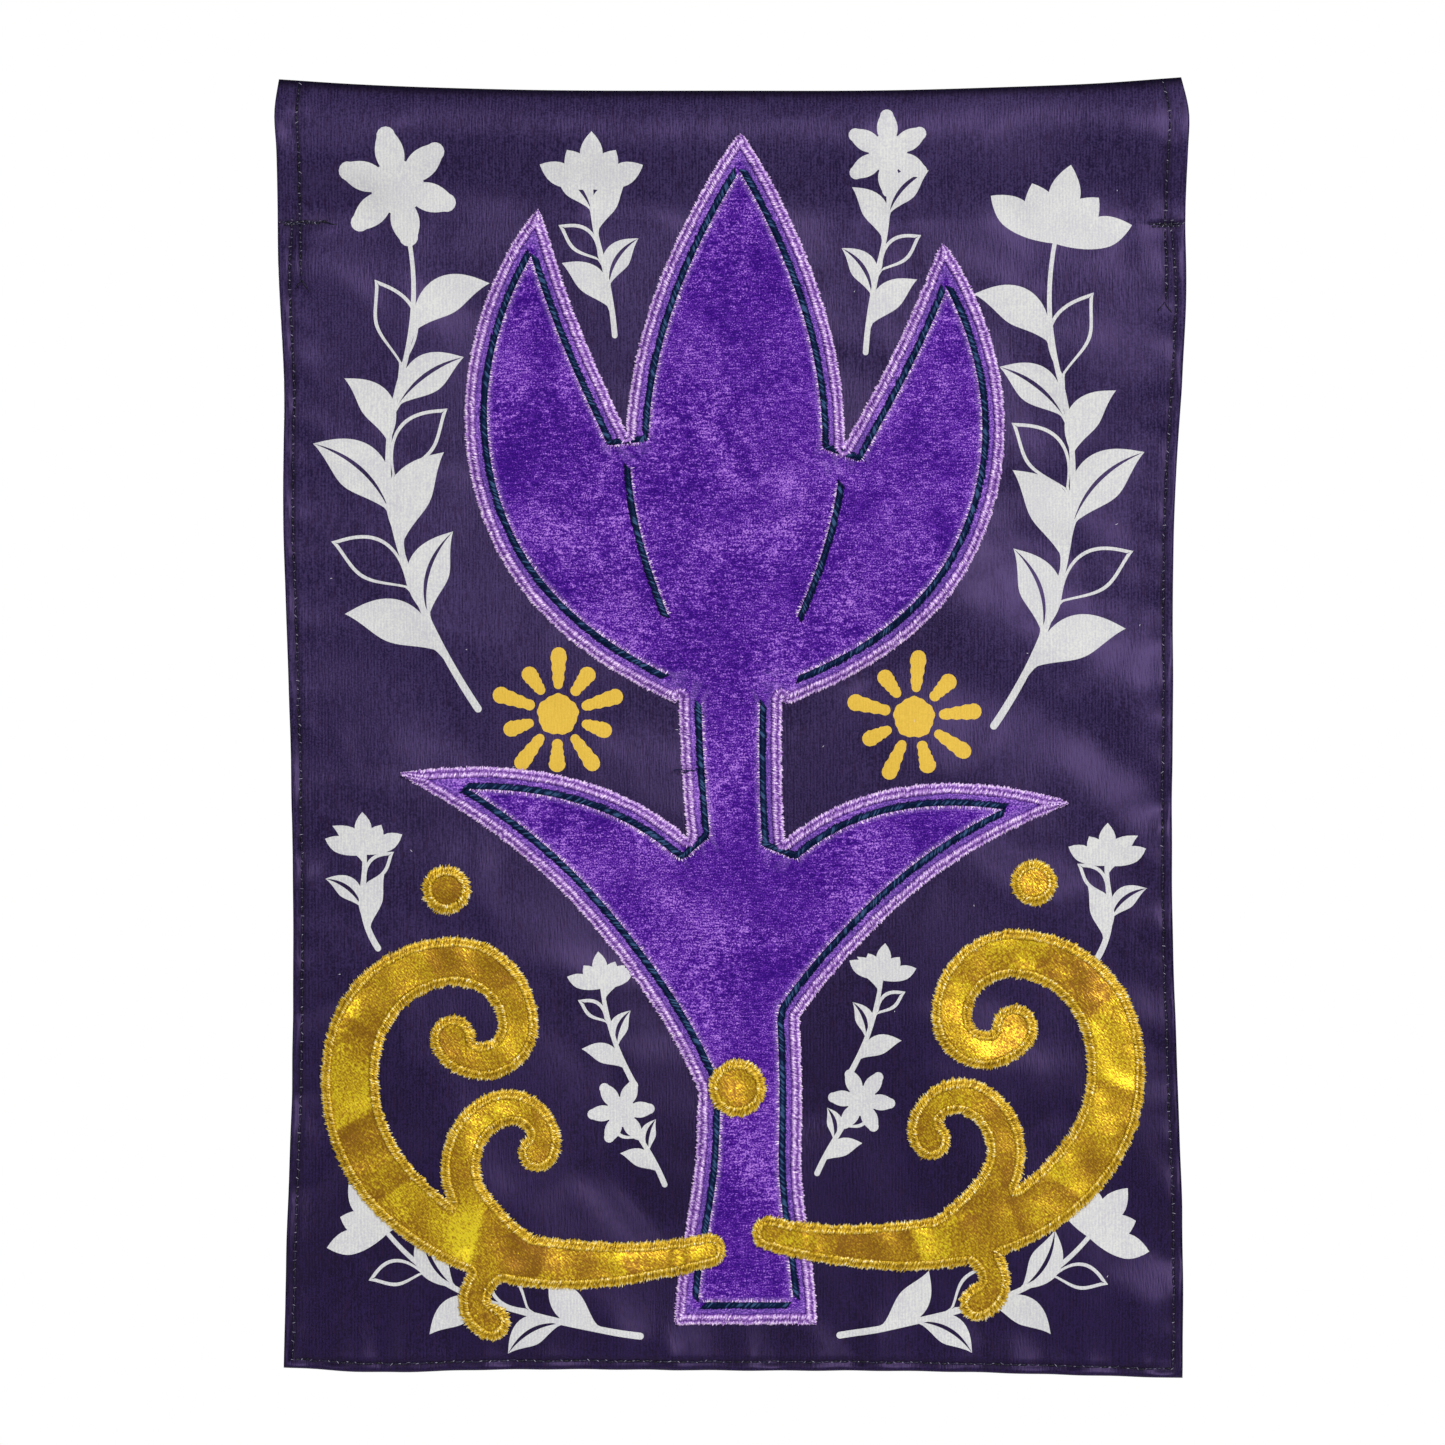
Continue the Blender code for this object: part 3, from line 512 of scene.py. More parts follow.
# Print: sprigs of leaves on a bent stem that ends in a flower, and brushed suns.
Foliage = namedtuple("Foliage", "leaves length width side head reach")
SPRIGS = (
    (
        Start(-0.089, -0.217, 124.0, 0.0026),
        (Run(0.058, -15, 0.0022), Run(0.066, -36, 0.0018), Run(0.053, 30, 0.0015)),
        Foliage(10, 0.042, 0.0156, 1, "round", 0.018),
    ),
    (
        Start(0.092, -0.223, 55.0, 0.0026),
        (Run(0.060, 22, 0.0022), Run(0.068, 28, 0.0018), Run(0.050, -27, 0.0015)),
        Foliage(10, 0.042, 0.0156, -1, "fan", 0.028),
    ),
    (
        Start(-0.041, -0.086, 95.0, 0.0020),
        (Run(0.032, 10, 0.0016), Run(0.022, -16, 0.0014)),
        Foliage(5, 0.027, 0.0102, 1, "fan", 0.020),
    ),
    (
        Start(0.047, -0.092, 86.0, 0.0020),
        (Run(0.034, -10, 0.0016), Run(0.026, 16, 0.0014)),
        Foliage(5, 0.027, 0.0102, -1, "round", 0.013),
    ),
    (
        Start(-0.124, -0.301, 124.0, 0.0022),
        (Run(0.024, -42, 0.0018), Run(0.012, 12, 0.0015)),
        Foliage(4, 0.023, 0.0085, -1, "fan", 0.015),
    ),
    (
        Start(0.128, -0.305, 58.0, 0.0022),
        (Run(0.024, 42, 0.0018), Run(0.012, -12, 0.0015)),
        Foliage(4, 0.023, 0.0085, 1, "fan", 0.015),
    ),
    (
        Start(-0.032, -0.437, 172.0, 0.0024),
        (Run(0.056, -10, 0.0020), Run(0.044, -34, 0.0016)),
        Foliage(6, 0.030, 0.0112, -1, "fan", 0.022),
    ),
    (
        Start(0.038, -0.437, 8.0, 0.0024),
        (Run(0.056, 10, 0.0020), Run(0.042, 34, 0.0016)),
        Foliage(6, 0.030, 0.0112, 1, "fan", 0.022),
    ),
    (
        Start(-0.0235, -0.384, 112.0, 0.0020),
        (Run(0.022, 14, 0.0016),),
        Foliage(3, 0.017, 0.0065, 1, "round", 0.0100),
    ),
    (
        Start(0.0300, -0.380, 66.0, 0.0020),
        (Run(0.022, -12, 0.0016),),
        Foliage(3, 0.017, 0.0065, -1, "round", 0.0100),
    ),
    (
        Start(-0.034, -0.349, 120.0, 0.0020),
        (Run(0.022, -14, 0.0016), Run(0.016, -10, 0.0014)),
        Foliage(4, 0.019, 0.0072, 1, "fan", 0.0130),
    ),
    (
        Start(0.041, -0.346, 60.0, 0.0020),
        (Run(0.022, 14, 0.0016), Run(0.016, 10, 0.0014)),
        Foliage(4, 0.019, 0.0072, -1, "fan", 0.0130),
    ),
)
FIRST_LEAF = 0.10
LEAVES_SPAN = 0.66
LEAF_LEAN = 36.0
VEIN_SLIT = 0.0007
BRUSHED_LINE = 0.0015
HALVED_LEAF_WIDTH = 1.12
FAN_PETAL_FULLEST = 0.62
Sun = namedtuple("Sun", "x z reach rays phase")
SUNS = (
    Sun(-0.061, -0.219, 0.021, 10, 0.3),
    Sun(0.064, -0.220, 0.021, 9, 0.1),
)

# The photograph's frame at the flag, and the camera's distance from it.
PICTURE_SIDE = 0.5072
PICTURE_CENTRE = (-0.0032, -0.2218)
CAMERA_DISTANCE = 2.4
SENSOR = 36.0
CAMERA_SIGHT = 20.0
FLOOR_HEIGHT = -0.62
FLOOR_RADIUS = 0.85
AMBIENT = 0.09
Lamp = namedtuple("Lamp", "name place size power")
LAMPS = (
    Lamp("key_light", (0.90, -1.90, 0.65), 1.1, 52.0),
    Lamp("fill_light", (-1.60, -1.60, 0.30), 1.0, 15.0),
    Lamp("back_light", (-0.70, 2.10, 0.50), 1.1, 52.0),
)

# Grain of the cloths: swellings in a metre across the flag, through it and down it.
CLOTH_RIBS = (1700, 300, 260)
CLOTH_LONG_RIBS = (1500, 300, 60)
CLOTH_SPECKS = (1500, 300, 1700)
CLOTH_RED_SPECKS = (900, 300, 200)
VELVET_SPECKS = (1800, 300, 2100)
VELVET_RIBS = (300, 300, 1500)
VELVET_TUFTS = (360, 200, 440)
TWILL_RISING = (2000, 300, 950)
TWILL_FALLING = (950, 300, 2000)
TWILL_ANGLE = 43.0
RIB_ROWS = 273.0

# Colours of the cloth's dye, painted lighter towards the top and darker towards the hem, of the painted shade
# at its seams and fold, of the ink and of the velvet's parted pile.
UPPER_DYE_PAINTED_SHEEN = ((0.0045, 0.0027, 0.0190, 1.0), (0.0310, 0.0205, 0.0700, 1.0))
LOWER_DYE_PAINTED_SHADE = ((0.0003, 0.0001, 0.0050, 1.0), (0.0080, 0.0036, 0.0320, 1.0))
RED_SPECK = (0.0090, 0.0024, 0.0150, 1.0)
PAINTED_SHADE_DYE = (0.0010, 0.0004, 0.0040, 1.0)
WHITE_INK = ((0.475, 0.465, 0.500, 1.0), (0.610, 0.615, 0.585, 1.0))
YELLOW_INK = ((0.590, 0.370, 0.040, 1.0), (0.670, 0.440, 0.055, 1.0))
# The pale parted pile is partly painted sheen.
PARTED_PILE_PAINTED_SHEEN = (0.4600, 0.2700, 0.7000, 1.0)
VELVET_TONES = (
    (0.0, (0.0220, 0.0005, 0.1450, 1.0)),
    (0.40, (0.0720, 0.0072, 0.2700, 1.0)),
    (0.70, (0.1500, 0.0390, 0.3950, 1.0)),
    (1.0, (0.4200, 0.2000, 0.6800, 1.0)),
)
# The lame's tones run from painted shade in brown to painted highlight in bright yellow.
LAME_TONES = (
    (0.0, (0.2200, 0.0900, 0.0020, 1.0)),
    (0.34, (0.3700, 0.1900, 0.0040, 1.0)),
    (0.66, (0.5600, 0.3500, 0.0080, 1.0)),
    (1.0, (0.8800, 0.7000, 0.0200, 1.0)),
)

# Threads: their tones from dark to light, whose light ends show the painted highlights and glints that the
# strands' shades reach, what is constant on them, and how much their twist shows.
ThreadLook = namedtuple("ThreadLook", "tones constants twist")
THREADS = {
    "lavender_satin_thread": ThreadLook(
        (
            (0.0, (0.0220, 0.0040, 0.0800, 1.0)),
            (0.38, (0.1500, 0.0500, 0.3100, 1.0)),
            (0.68, (0.4100, 0.2200, 0.5900, 1.0)),
            (1.0, (0.9600, 0.8000, 1.0000, 1.0)),
        ),
        {"Specular IOR Level": 0.6, "Specular Tint": (0.72, 0.45, 1.0, 1.0)},
        0.45,
    ),
    "navy_thread": ThreadLook(
        (
            (0.0, (0.0006, 0.0018, 0.0130, 1.0)),
            (0.45, (0.0022, 0.0080, 0.0340, 1.0)),
            (1.0, (0.0360, 0.0760, 0.1600, 1.0)),
        ),
        {"Specular IOR Level": 0.25, "Specular Tint": (0.2, 0.4, 1.0, 1.0)},
        0.15,
    ),
    "gold_metallic_thread": ThreadLook(
        (
            (0.0, (0.0900, 0.0320, 0.0010, 1.0)),
            (0.36, (0.3900, 0.2200, 0.0050, 1.0)),
            (0.70, (0.7400, 0.5000, 0.0300, 1.0)),
            (1.0, (1.0000, 0.9600, 0.7800, 1.0)),
        ),
        {"Specular IOR Level": 0.6, "Metallic": 0.45, "Specular Tint": (1.0, 0.86, 0.45, 1.0)},
        0.45,
    ),
    "dark_seam_thread": ThreadLook(
        ((0.0, (0.0015, 0.0010, 0.0060, 1.0)), (1.0, (0.0120, 0.0080, 0.0330, 1.0))),
        {"Specular IOR Level": 0.3},
        0.45,
    ),
    "pale_seam_thread": ThreadLook(
        ((0.0, (0.0800, 0.0700, 0.1300, 1.0)), (1.0, (0.3000, 0.2900, 0.3600, 1.0))),
        {"Specular IOR Level": 0.3},
        0.45,
    ),
    "white_lint": ThreadLook(
        ((0.0, (0.4000, 0.3800, 0.4600, 1.0)), (1.0, (0.7000, 0.6800, 0.7500, 1.0))),
        {"Specular IOR Level": 0.3},
        0.45,
    ),
}


def smooth_between(at, places, values):
    """Values read from a smooth curve through a table's rows."""
    at = np.clip(at, min(places), max(places))
    order = np.argsort(places)
    x = np.asarray(places, float)[order]
    y = np.asarray(values, float)[order]
    slope = np.gradient(y, x)
    i = np.clip(np.searchsorted(x, at) - 1, 0, len(x) - 2)
    span = x[i + 1] - x[i]
    t = (at - x[i]) / span
    rise = y[i] * (1 + 2 * t) * (1 - t) ** 2 + y[i + 1] * t * t * (3 - 2 * t)
    return rise + span * (slope[i] * t * (1 - t) ** 2 - slope[i + 1] * t * t * (1 - t))


def smooth_step(share):
    share = np.clip(share, 0, 1)
    return share * share * (3 - 2 * share)


def rounded(share):
    """Height of a quarter circle over its own base: 0 at 0, and 1 from 1 on."""
    rest = 1 - np.clip(share, 0, 1)
    return np.sqrt(1 - rest * rest)


def uneven(x, z, size, seed):
    """Smooth seeded unevenness from about -1 to 1, with swellings of one size."""
    chance = np.random.default_rng(seed)
    total = np.zeros_like(x)
    for _ in range(10):
        way = chance.uniform(0, 2 * math.pi)
        wave = 2 * math.pi / size * chance.uniform(0.55, 1.5)
        phase = chance.uniform(0, 2 * math.pi)
        total += np.sin(wave * (math.cos(way) * x + math.sin(way) * z) + phase)
    return total / 3.2


def crumpled(x, z, crumples):
    """Small unevenness of several sizes together."""
    return sum(crumple.height * uneven(x, z, crumple.size, crumple.seed) for crumple in crumples)


def left_of(along):
    """The ways to the left of others, each a row of two."""
    return np.column_stack([-along[:, 1], along[:, 0]])


def way_at(turn):
    return np.array([math.cos(turn), math.sin(turn)])


def full_turn(corners):
    """Even angles all the way round, in radians."""
    return np.linspace(0, 2 * math.pi, corners + 1)[:-1]


def distance_to_lines(x, z, start, along):
    """Distance to straight lines, each given by where it starts and how far it runs both ways."""
    share = ((x - start[0]) * along[0] + (z - start[1]) * along[1]) / (along[0] ** 2 + along[1] ** 2)
    share = np.clip(share, 0, 1)
    return np.hypot(x - start[0] - share * along[0], z - start[1] - share * along[1])


def rim_height(across, column):
    places = [rim.across for rim in RIMS]
    return smooth_between(across, places, [getattr(rim, column) for rim in RIMS])


def place_on_flag(u, down):
    """Hanging place (x, z) of the cloth at a share u of its width and a length down from the fold."""
    flat_x = (u - 0.5) * FLAG_WIDTH
    above = np.clip(1 - down / SLEEVE_DEPTH, 0, 1)
    below = np.clip((down - SLEEVE_DEPTH) / (FLAG_DROP - SLEEVE_DEPTH), 0, 1)
    z = -down + above * rim_height(flat_x, "top") + below * (rim_height(flat_x, "bottom") + FLAG_DROP)
    heights = [side.height for side in SIDES]
    left = smooth_between(z, heights, [side.left for side in SIDES])
    right = smooth_between(z, heights, [side.right for side in SIDES])
    return left + u * (right - left), z


def share_and_down(x, z):
    """The share of the width and the length down from the fold at a hanging place."""
    u = x / FLAG_WIDTH + 0.5
    down = -z
    for _ in range(6):
        found_x, found_z = place_on_flag(u, down)
        u = u + (x - found_x) / FLAG_WIDTH
        down = down - (z - found_z)
    return u, down


def fold_relief(folds, x, z):
    """Sum of the soft ridges and troughs, each fading with the distance from its line."""
    relief = np.zeros_like(x)
    for fold in folds:
        along = (fold.x1 - fold.x0, fold.z1 - fold.z0)
        away = distance_to_lines(x, z, (fold.x0, fold.z0), along)
        relief += fold.height * np.exp(-((away / fold.reach) ** 2))
    return relief


def cloth_relief(x, z):
    """How far the middle of the cloth stands towards -Y."""
    hanging = np.clip((-z - SLEEVE_DEPTH) / (FLAG_DROP - SLEEVE_DEPTH), 0, 1)
    relief = fold_relief(FOLDS, x, z) * np.clip(-z / SLEEVE_DEPTH, 0, 1) ** 2
    for wave in WAVES:
        turn = 2 * math.pi * (x + wave.lean * z) / wave.length + wave.phase
        relief += wave.height * np.sqrt(hanging) * np.sin(turn)
    hem = np.exp(-((FLAG_DROP + z) / HEM_PUCKER_FADE) ** 2)
    turn = 2 * math.pi * x / HEM_PUCKER_LENGTH + HEM_PUCKER_DRIFT * x / FLAG_WIDTH
    relief += HEM_PUCKER * hem * np.sin(turn)
    side = np.exp(-((FLAG_WIDTH / 2 - np.abs(x)) / SIDE_PUCKER_FADE) ** 2) * np.sqrt(hanging)
    phase = SIDE_PUCKER_PHASE * np.sign(x)
    relief += SIDE_PUCKER * side * np.sin(2 * math.pi * z / SIDE_PUCKER_LENGTH + phase)
    return relief


def seam_ends(seam):
    """A seam's two ends in the flat cloth: across from the left edge, and down from the fold."""
    across = [seam.in0, seam.in1]
    if seam.side == RIGHT:
        across = [FLAG_WIDTH - value for value in across]
    return np.array([[across[0], seam.down0], [across[1], seam.down1]])


def seam_distance(across, down):
    """Distance in the flat cloth to the nearest seam."""
    nearest = np.full(across.shape, np.inf)
    for seam in SEAMS:
        start, end = seam_ends(seam)
        nearest = np.minimum(nearest, distance_to_lines(across, down, start, end - start))
    return nearest


def edge_share(distance, band):
    """How full the puckers along an edge are at a distance from it."""
    fading = np.exp(-((np.maximum(distance - band.start, 0) / band.fade) ** 2))
    return fading * np.minimum(distance / band.rise, 1)


def fine_relief(u, down, x, z):
    """Creases and puckers that are too small for the solids."""
    bent_x = x + crumpled(x, z, CRUMPLE_BEND_ACROSS)
    bent_z = z + crumpled(x, z, CRUMPLE_BEND_DOWN)
    relief = fold_relief(CREASES, x, z) + crumpled(bent_x, bent_z, CLOTH_CRUMPLES)
    by_hem = edge_share(FLAG_DROP - down, HEM_BAND)
    relief += by_hem * crumpled(x, 0 * z, HEM_CRUMPLES)
    by_side = edge_share(np.minimum(u, 1 - u) * FLAG_WIDTH, SIDE_BAND)
    relief += by_side * crumpled(z, SIDE_CRUMPLE_STRETCH * x, SIDE_CRUMPLES)
    return relief


def skins(u, down):
    """Places of the cloth's skins: its front and back, and the insides of the sleeve's layers."""
    x, z = place_on_flag(u, down)
    side = np.minimum(u, 1 - u) * FLAG_WIDTH
    edge = np.minimum(side, FLAG_DROP - down)
    layer = FIELD_LAYER + (HEM_LAYER - FIELD_LAYER) * np.exp(-((edge / HEM_WIDTH) ** 4))
    layer = layer * (1 - SEAM_PINCH * np.exp(-((seam_distance(u * FLAG_WIDTH, down) / SEAM_REACH) ** 2)))
    turn = np.maximum(rounded(edge / EDGE_ROUNDING), EDGE_THINNEST)
    in_sleeve = down < SLEEVE_DEPTH + 1e-6
    belly = np.where(in_sleeve, sleeve_half_gap(down), 0.0)
    centre = np.where(in_sleeve, belly + FIELD_LAYER / 2, 0.0)
    half = np.where(in_sleeve, layer / 2, layer) * turn
    hollow = np.where(in_sleeve, fold_relief(SLEEVE_HOLLOWS, x, z), 0.0)
    hollow = hollow * np.sin(math.pi * np.clip(down / SLEEVE_DEPTH, 0, 1))
    fine = fine_relief(u, down, x, z) * np.clip(down / NO_FINE_RELIEF_ABOVE, 0, 1)
    middle = -(cloth_relief(x, z) + fine)
    fold = rounded(down / FOLD_ROUNDING)
    return {
        "x": x,
        "z": z,
        "middle": middle,
        "front": middle - (centre + half) * fold - hollow,
        "front_inner": middle - (centre - half) * fold - hollow,
        "back_inner": middle + (centre - half) * fold,
        "back": middle + (centre + half) * fold,
    }


def sleeve_half_gap(down):
    """Half the space in the sleeve: fullest near the fold, it closes softly at its lower end."""
    share = np.clip(down / SLEEVE_DEPTH, 0, 1)
    opening = np.sin(math.pi / 2 * np.minimum(share / SLEEVE_FULLEST, 1))
    closing = smooth_step((1 - share) / (1 - SLEEVE_FULLEST))
    open_share = np.where(share < SLEEVE_FULLEST, opening, closing)
    return (SLEEVE_SEAM_GAP + (SLEEVE_GAP - SLEEVE_SEAM_GAP) * open_share) / 2


def front_at(x, z):
    """Height in Y of the cloth's front skin at hanging places."""
    u, down = share_and_down(x, z)
    return skins(u, down)["front"]


def stroke_line(start, runs, step=OUTLINE_STEP):
    """Centre line of a stroke, a row for each place: x, z and width."""
    x, z, angle, width = start.x, start.z, math.radians(start.heading), start.width
    line = [(x, z, width)]
    for run in runs:
        count = max(2, math.ceil(run.length / step), math.ceil(abs(run.turn) / BEND_STEP))
        half_turn = math.radians(run.turn) / count / 2
        for i in range(1, count + 1):
            angle += half_turn
            x += math.cos(angle) * run.length / count
            z += math.sin(angle) * run.length / count
            angle += half_turn
            line.append((x, z, width + (run.width - width) * smooth_step(i / count)))
        width = run.width
    return np.array(line)


def blade_line(blade, profile, step=OUTLINE_STEP):
    """Centre line of a petal or leaf: it bows to its left by a share of its length."""
    base = np.array([blade.x0, blade.z0])
    along = np.array([blade.x1, blade.z1]) - base
    count = max(8, math.ceil(np.linalg.norm(along) / step))
    t = np.linspace(0, 1, count + 1)
    side = np.array([-along[1], along[0]])
    line = base + np.outer(t, along) + np.outer(4 * blade.bow * t * (1 - t), side)
    return np.column_stack([line, blade.width * profile(t)])


def sides_of(line):
    """Points to the left and right of a centre line, and its ways ahead and to the left."""
    along = np.gradient(line[:, :2], axis=0)
    along /= np.linalg.norm(along, axis=1)[:, None]
    left = left_of(along)
    half = line[:, 2:3] / 2
    return line[:, :2] + left * half, line[:, :2] - left * half, along, left


def round_end(centre, radius, left, along, corners=6):
    turns = np.linspace(0, math.pi, corners + 2)[1:-1]
    return centre + radius * (np.outer(np.cos(turns), left) + np.outer(np.sin(turns), along))


def stroke_outline(line, round_ends=True):
    """Closed outline of a stroke, with round or cut ends."""
    one, two, along, left = sides_of(line)
    if not round_ends:
        return np.concatenate([one, two[::-1]])
    far = round_end(line[-1, :2], line[-1, 2] / 2, left[-1], along[-1])
    near = round_end(line[0, :2], line[0, 2] / 2, -left[0], -along[0])
    return np.concatenate([one, far, two[::-1], near])


def pointed_outline(line):
    """Closed outline of a leaf or petal with a pointed tip and a narrow or pointed base."""
    one, two, _, _ = sides_of(line)
    has_broad_base = line[0, 2] > 1e-6
    back_way = two[-2::-1] if has_broad_base else two[-2:0:-1]
    return np.concatenate([one, back_way])


def petal_profile(t):
    """Width of a petal along its length: full above its base, drawn to a point."""
    fullest = 0.42
    base_width = 0.40
    low = base_width + (1 - base_width) * np.sin(np.minimum(t / fullest, 1) * math.pi / 2)
    high = np.cos(np.clip((t - fullest) / (1 - fullest), 0, 1) * math.pi / 2)
    return np.where(t < fullest, low, np.maximum(high, 0) ** 0.85)


def leaf_profile(t, fullest=0.5):
    """Width of a leaf along its length: pointed at both ends."""
    rise = np.where(t < fullest, t / fullest, (1 - t) / (1 - fullest))
    return np.sin(np.clip(rise, 0, 1) * math.pi / 2) ** 0.9


def place_and_way(line, at):
    """The place at a length along a stroke, and the angle of its way there."""
    lengths = lengths_along(line[:, :2])
    _, _, along, _ = sides_of(line)
    x, z, way_x, way_z = (np.interp(at, lengths, values) for values in (*line[:, :2].T, *along.T))
    return x, z, math.atan2(way_z, way_x)


def curl_line(line, curl):
    """Centre line of a curl that springs from the middle of a stroke and leans off its way."""
    x, z, way = place_and_way(line, curl.at)
    return stroke_line(Start(x, z, math.degrees(way) + curl.lean, curl.width), curl.runs)


def lengths_along(line):
    steps = np.linalg.norm(np.diff(line, axis=0), axis=1)
    return np.concatenate([[0.0], np.cumsum(steps)])


def tulip_outlines():
    outlines = [pointed_outline(blade_line(petal, petal_profile)) for petal in PETALS]
    outlines += [pointed_outline(blade_line(leaf, leaf_profile)) for leaf in LEAVES]
    outlines.append(stroke_outline(stroke_line(STEM_START, STEM_RUNS), round_ends=False))
    return outlines


def scroll_outlines(scroll):
    line = stroke_line(scroll.start, scroll.runs)
    return [stroke_outline(line)] + [stroke_outline(curl_line(line, curl)) for curl in scroll.curls]


def berry_outline(berry, corners=40):
    turns = full_turn(corners)
    return np.array([berry.x, berry.z]) + berry.radius * np.column_stack([np.cos(turns), np.sin(turns)])


def signed_area(outline):
    """Area inside an outline, above 0 where its inside lies on its left."""
    after = np.roll(outline, -1, axis=0)
    return (outline[:, 0] * after[:, 1] - after[:, 0] * outline[:, 1]).sum() / 2


def turned_left(outline):
    """The outline in the sense that keeps its inside on the left."""
    return outline if signed_area(outline) > 0 else outline[::-1]


def triangles_inside(points, faces):
    """Triangles that fill the faces, with the places of their corners."""
    flat, _, triangles, _, _, sources = delaunay_2d_cdt(points, [], faces, 0, 1e-6)
    triangles = [tuple(triangle) for triangle, source in zip(triangles, sources) if source]
    used = sorted({corner for triangle in triangles for corner in triangle})
    renumber = {old: new for new, old in enumerate(used)}
    triangles = [tuple(renumber[corner] for corner in triangle) for triangle in triangles]
    return np.array([flat[corner] for corner in used]), triangles


def rim_edges(triangles):
    """The triangles' edges that no other triangle shares, each in its triangle's sense."""
    ways = {(a, b) for corners in triangles for a, b in zip(corners, corners[1:] + corners[:1])}
    return [(a, b) for a, b in sorted(ways) if (b, a) not in ways]


def joined_outline(outlines):
    """One closed outline round overlapping shapes: the longest loop of their joined rim."""
    points = []
    faces = []
    for outline in map(turned_left, outlines):
        faces.append(list(range(len(points), len(points) + len(outline))))
        points.extend(Vector(point) for point in outline)
    places, triangles = triangles_inside(points, faces)
    after = dict(rim_edges(triangles))
    longest = []
    while after:
        corner, following = after.popitem()
        loop = [corner]
        while following in after:
            loop.append(following)
            following = after.pop(following)
        if len(loop) > len(longest):
            longest = loop
    return places[longest]


def distance_inside(x, z, outline):
    """Distance to an outline, above 0 inside it."""
    start = outline.T
    along = np.roll(outline, -1, axis=0).T - start
    signed = np.empty(len(x))
    for first in range(0, len(x), PLACES_AT_ONCE):
        some = slice(first, first + PLACES_AT_ONCE)
        px, pz = x[some, None], z[some, None]
        away = distance_to_lines(px, pz, start, along).min(axis=1)
        crosses = (start[1] > pz) != (start[1] + along[1] > pz)
        with np.errstate(divide="ignore", invalid="ignore"):
            reach = start[0] + (pz - start[1]) * along[0] / along[1]
        inside = (crosses & (px < reach)).sum(axis=1) % 2 == 1
        signed[some] = np.where(inside, away, -away)
    return signed


def evenly_spaced(line, pitch, closed, reach=WAY_REACH):
    """Points at an even pitch along a line, with the line's way over a reach to both sides."""
    if closed:
        line = np.concatenate([line, line[:1]])
    lengths = lengths_along(line)
    count = max(2, int(round(lengths[-1] / pitch)))
    at = np.linspace(0, lengths[-1], count + 1)[:-1] + (0 if closed else pitch / 2)

    def places(at):
        if closed:
            at = at % lengths[-1]
        return np.column_stack([np.interp(at, lengths, line[:, i]) for i in range(2)])

    along = places(at + reach) - places(at - reach)
    along /= np.maximum(np.linalg.norm(along, axis=1), 1e-9)[:, None]
    return places(at), along


class Socket:
    """A node's output that takes part in plain arithmetic."""

    def __init__(self, nodes, link):
        self.nodes = nodes
        self.link = link

    def _worked(self, operation, first, second):
        return self.nodes.node("ShaderNodeMath", {"operation": operation}, {0: first, 1: second})

    def __add__(self, other):
        return self._worked("ADD", self, other)

    __radd__ = __add__

    def __sub__(self, other):
        return self._worked("SUBTRACT", self, other)

    def __rsub__(self, other):
        return self._worked("SUBTRACT", other, self)

    def __mul__(self, other):
        return self._worked("MULTIPLY", self, other)

    __rmul__ = __mul__


class Nodes:
    """A node tree while it is made, with one way to add any node."""

    def __init__(self, tree):
        self.tree = tree

    def node(self, kind, settings=None, values=None, output=0):
        made = self.tree.nodes.new(kind)
        for setting, value in (settings or {}).items():
            if setting == "stops":
                self._set_stops(made.color_ramp, value)
            else:
                setattr(made, setting, value)
        for socket, value in (values or {}).items():
            if isinstance(value, Socket):
                self.tree.links.new(value.link, made.inputs[socket])
            else:
                made.inputs[socket].default_value = value
        return Socket(self, made.outputs[output])

    @staticmethod
    def _set_stops(ramp, stops):
        while len(ramp.elements) < len(stops):
            ramp.elements.new(1.0)
        for element, (position, colour) in zip(ramp.elements, stops):
            element.position = position
            element.color = colour


class Finish(Nodes):
    """A material while it is made, with its one shader."""

    def __init__(self, name, constants):
        self.material = bpy.data.materials.new(name)
        self.material.use_nodes = True
        super().__init__(self.material.node_tree)
        self.shader = self.tree.nodes["Principled BSDF"]
        for socket, value in constants.items():
            self.shader.inputs[socket].default_value = value
        self.place = self.node("ShaderNodeTexCoord", output="Object")

    def feed(self, socket, value):
        self.tree.links.new(value.link, self.shader.inputs[socket])

    def grain(self, place, scale, detail=2.0, roughness=0.5, distortion=0.0):
        values = {"Scale": scale, "Detail": detail, "Roughness": roughness, "Distortion": distortion}
        return self.node("ShaderNodeTexNoise", None, {"Vector": place, **values})

    def long_grain(self, stretch, detail=1.0, roughness=0.5, place=None):
        """Grain with a length of its own in each direction."""
        settings = {"operation": "MULTIPLY"}
        stretched = self.node("ShaderNodeVectorMath", settings, {0: place or self.place, 1: stretch})
        return self.grain(stretched, 1.0, detail, roughness)

    def between(self, value, low, high, to_low=0.0, to_high=1.0):
        """A value taken from one range smoothly into another."""
        settings = {"interpolation_type": "SMOOTHSTEP"}
        values = {"Value": value, "From Min": low, "From Max": high, "To Min": to_low, "To Max": to_high}
        return self.node("ShaderNodeMapRange", settings, values)

    def mixed(self, share, one, other):
        """Two colours mixed by a share."""
        return self.node("ShaderNodeMix", {"data_type": "RGBA"}, {0: share, 6: one, 7: other}, 2)

    def carried(self, name):
        """A number that the mesh carries at each of its points."""
        return self.node("ShaderNodeAttribute", {"attribute_name": name}, None, "Fac")

    def toned(self, share, stops):
        """A colour from a row of tones."""
        return self.node("ShaderNodeValToRGB", {"stops": stops}, {"Fac": share})

    def bumped(self, height, depth):
        return self.node("ShaderNodeBump", None, {"Height": height, "Strength": 1.0, "Distance": depth})


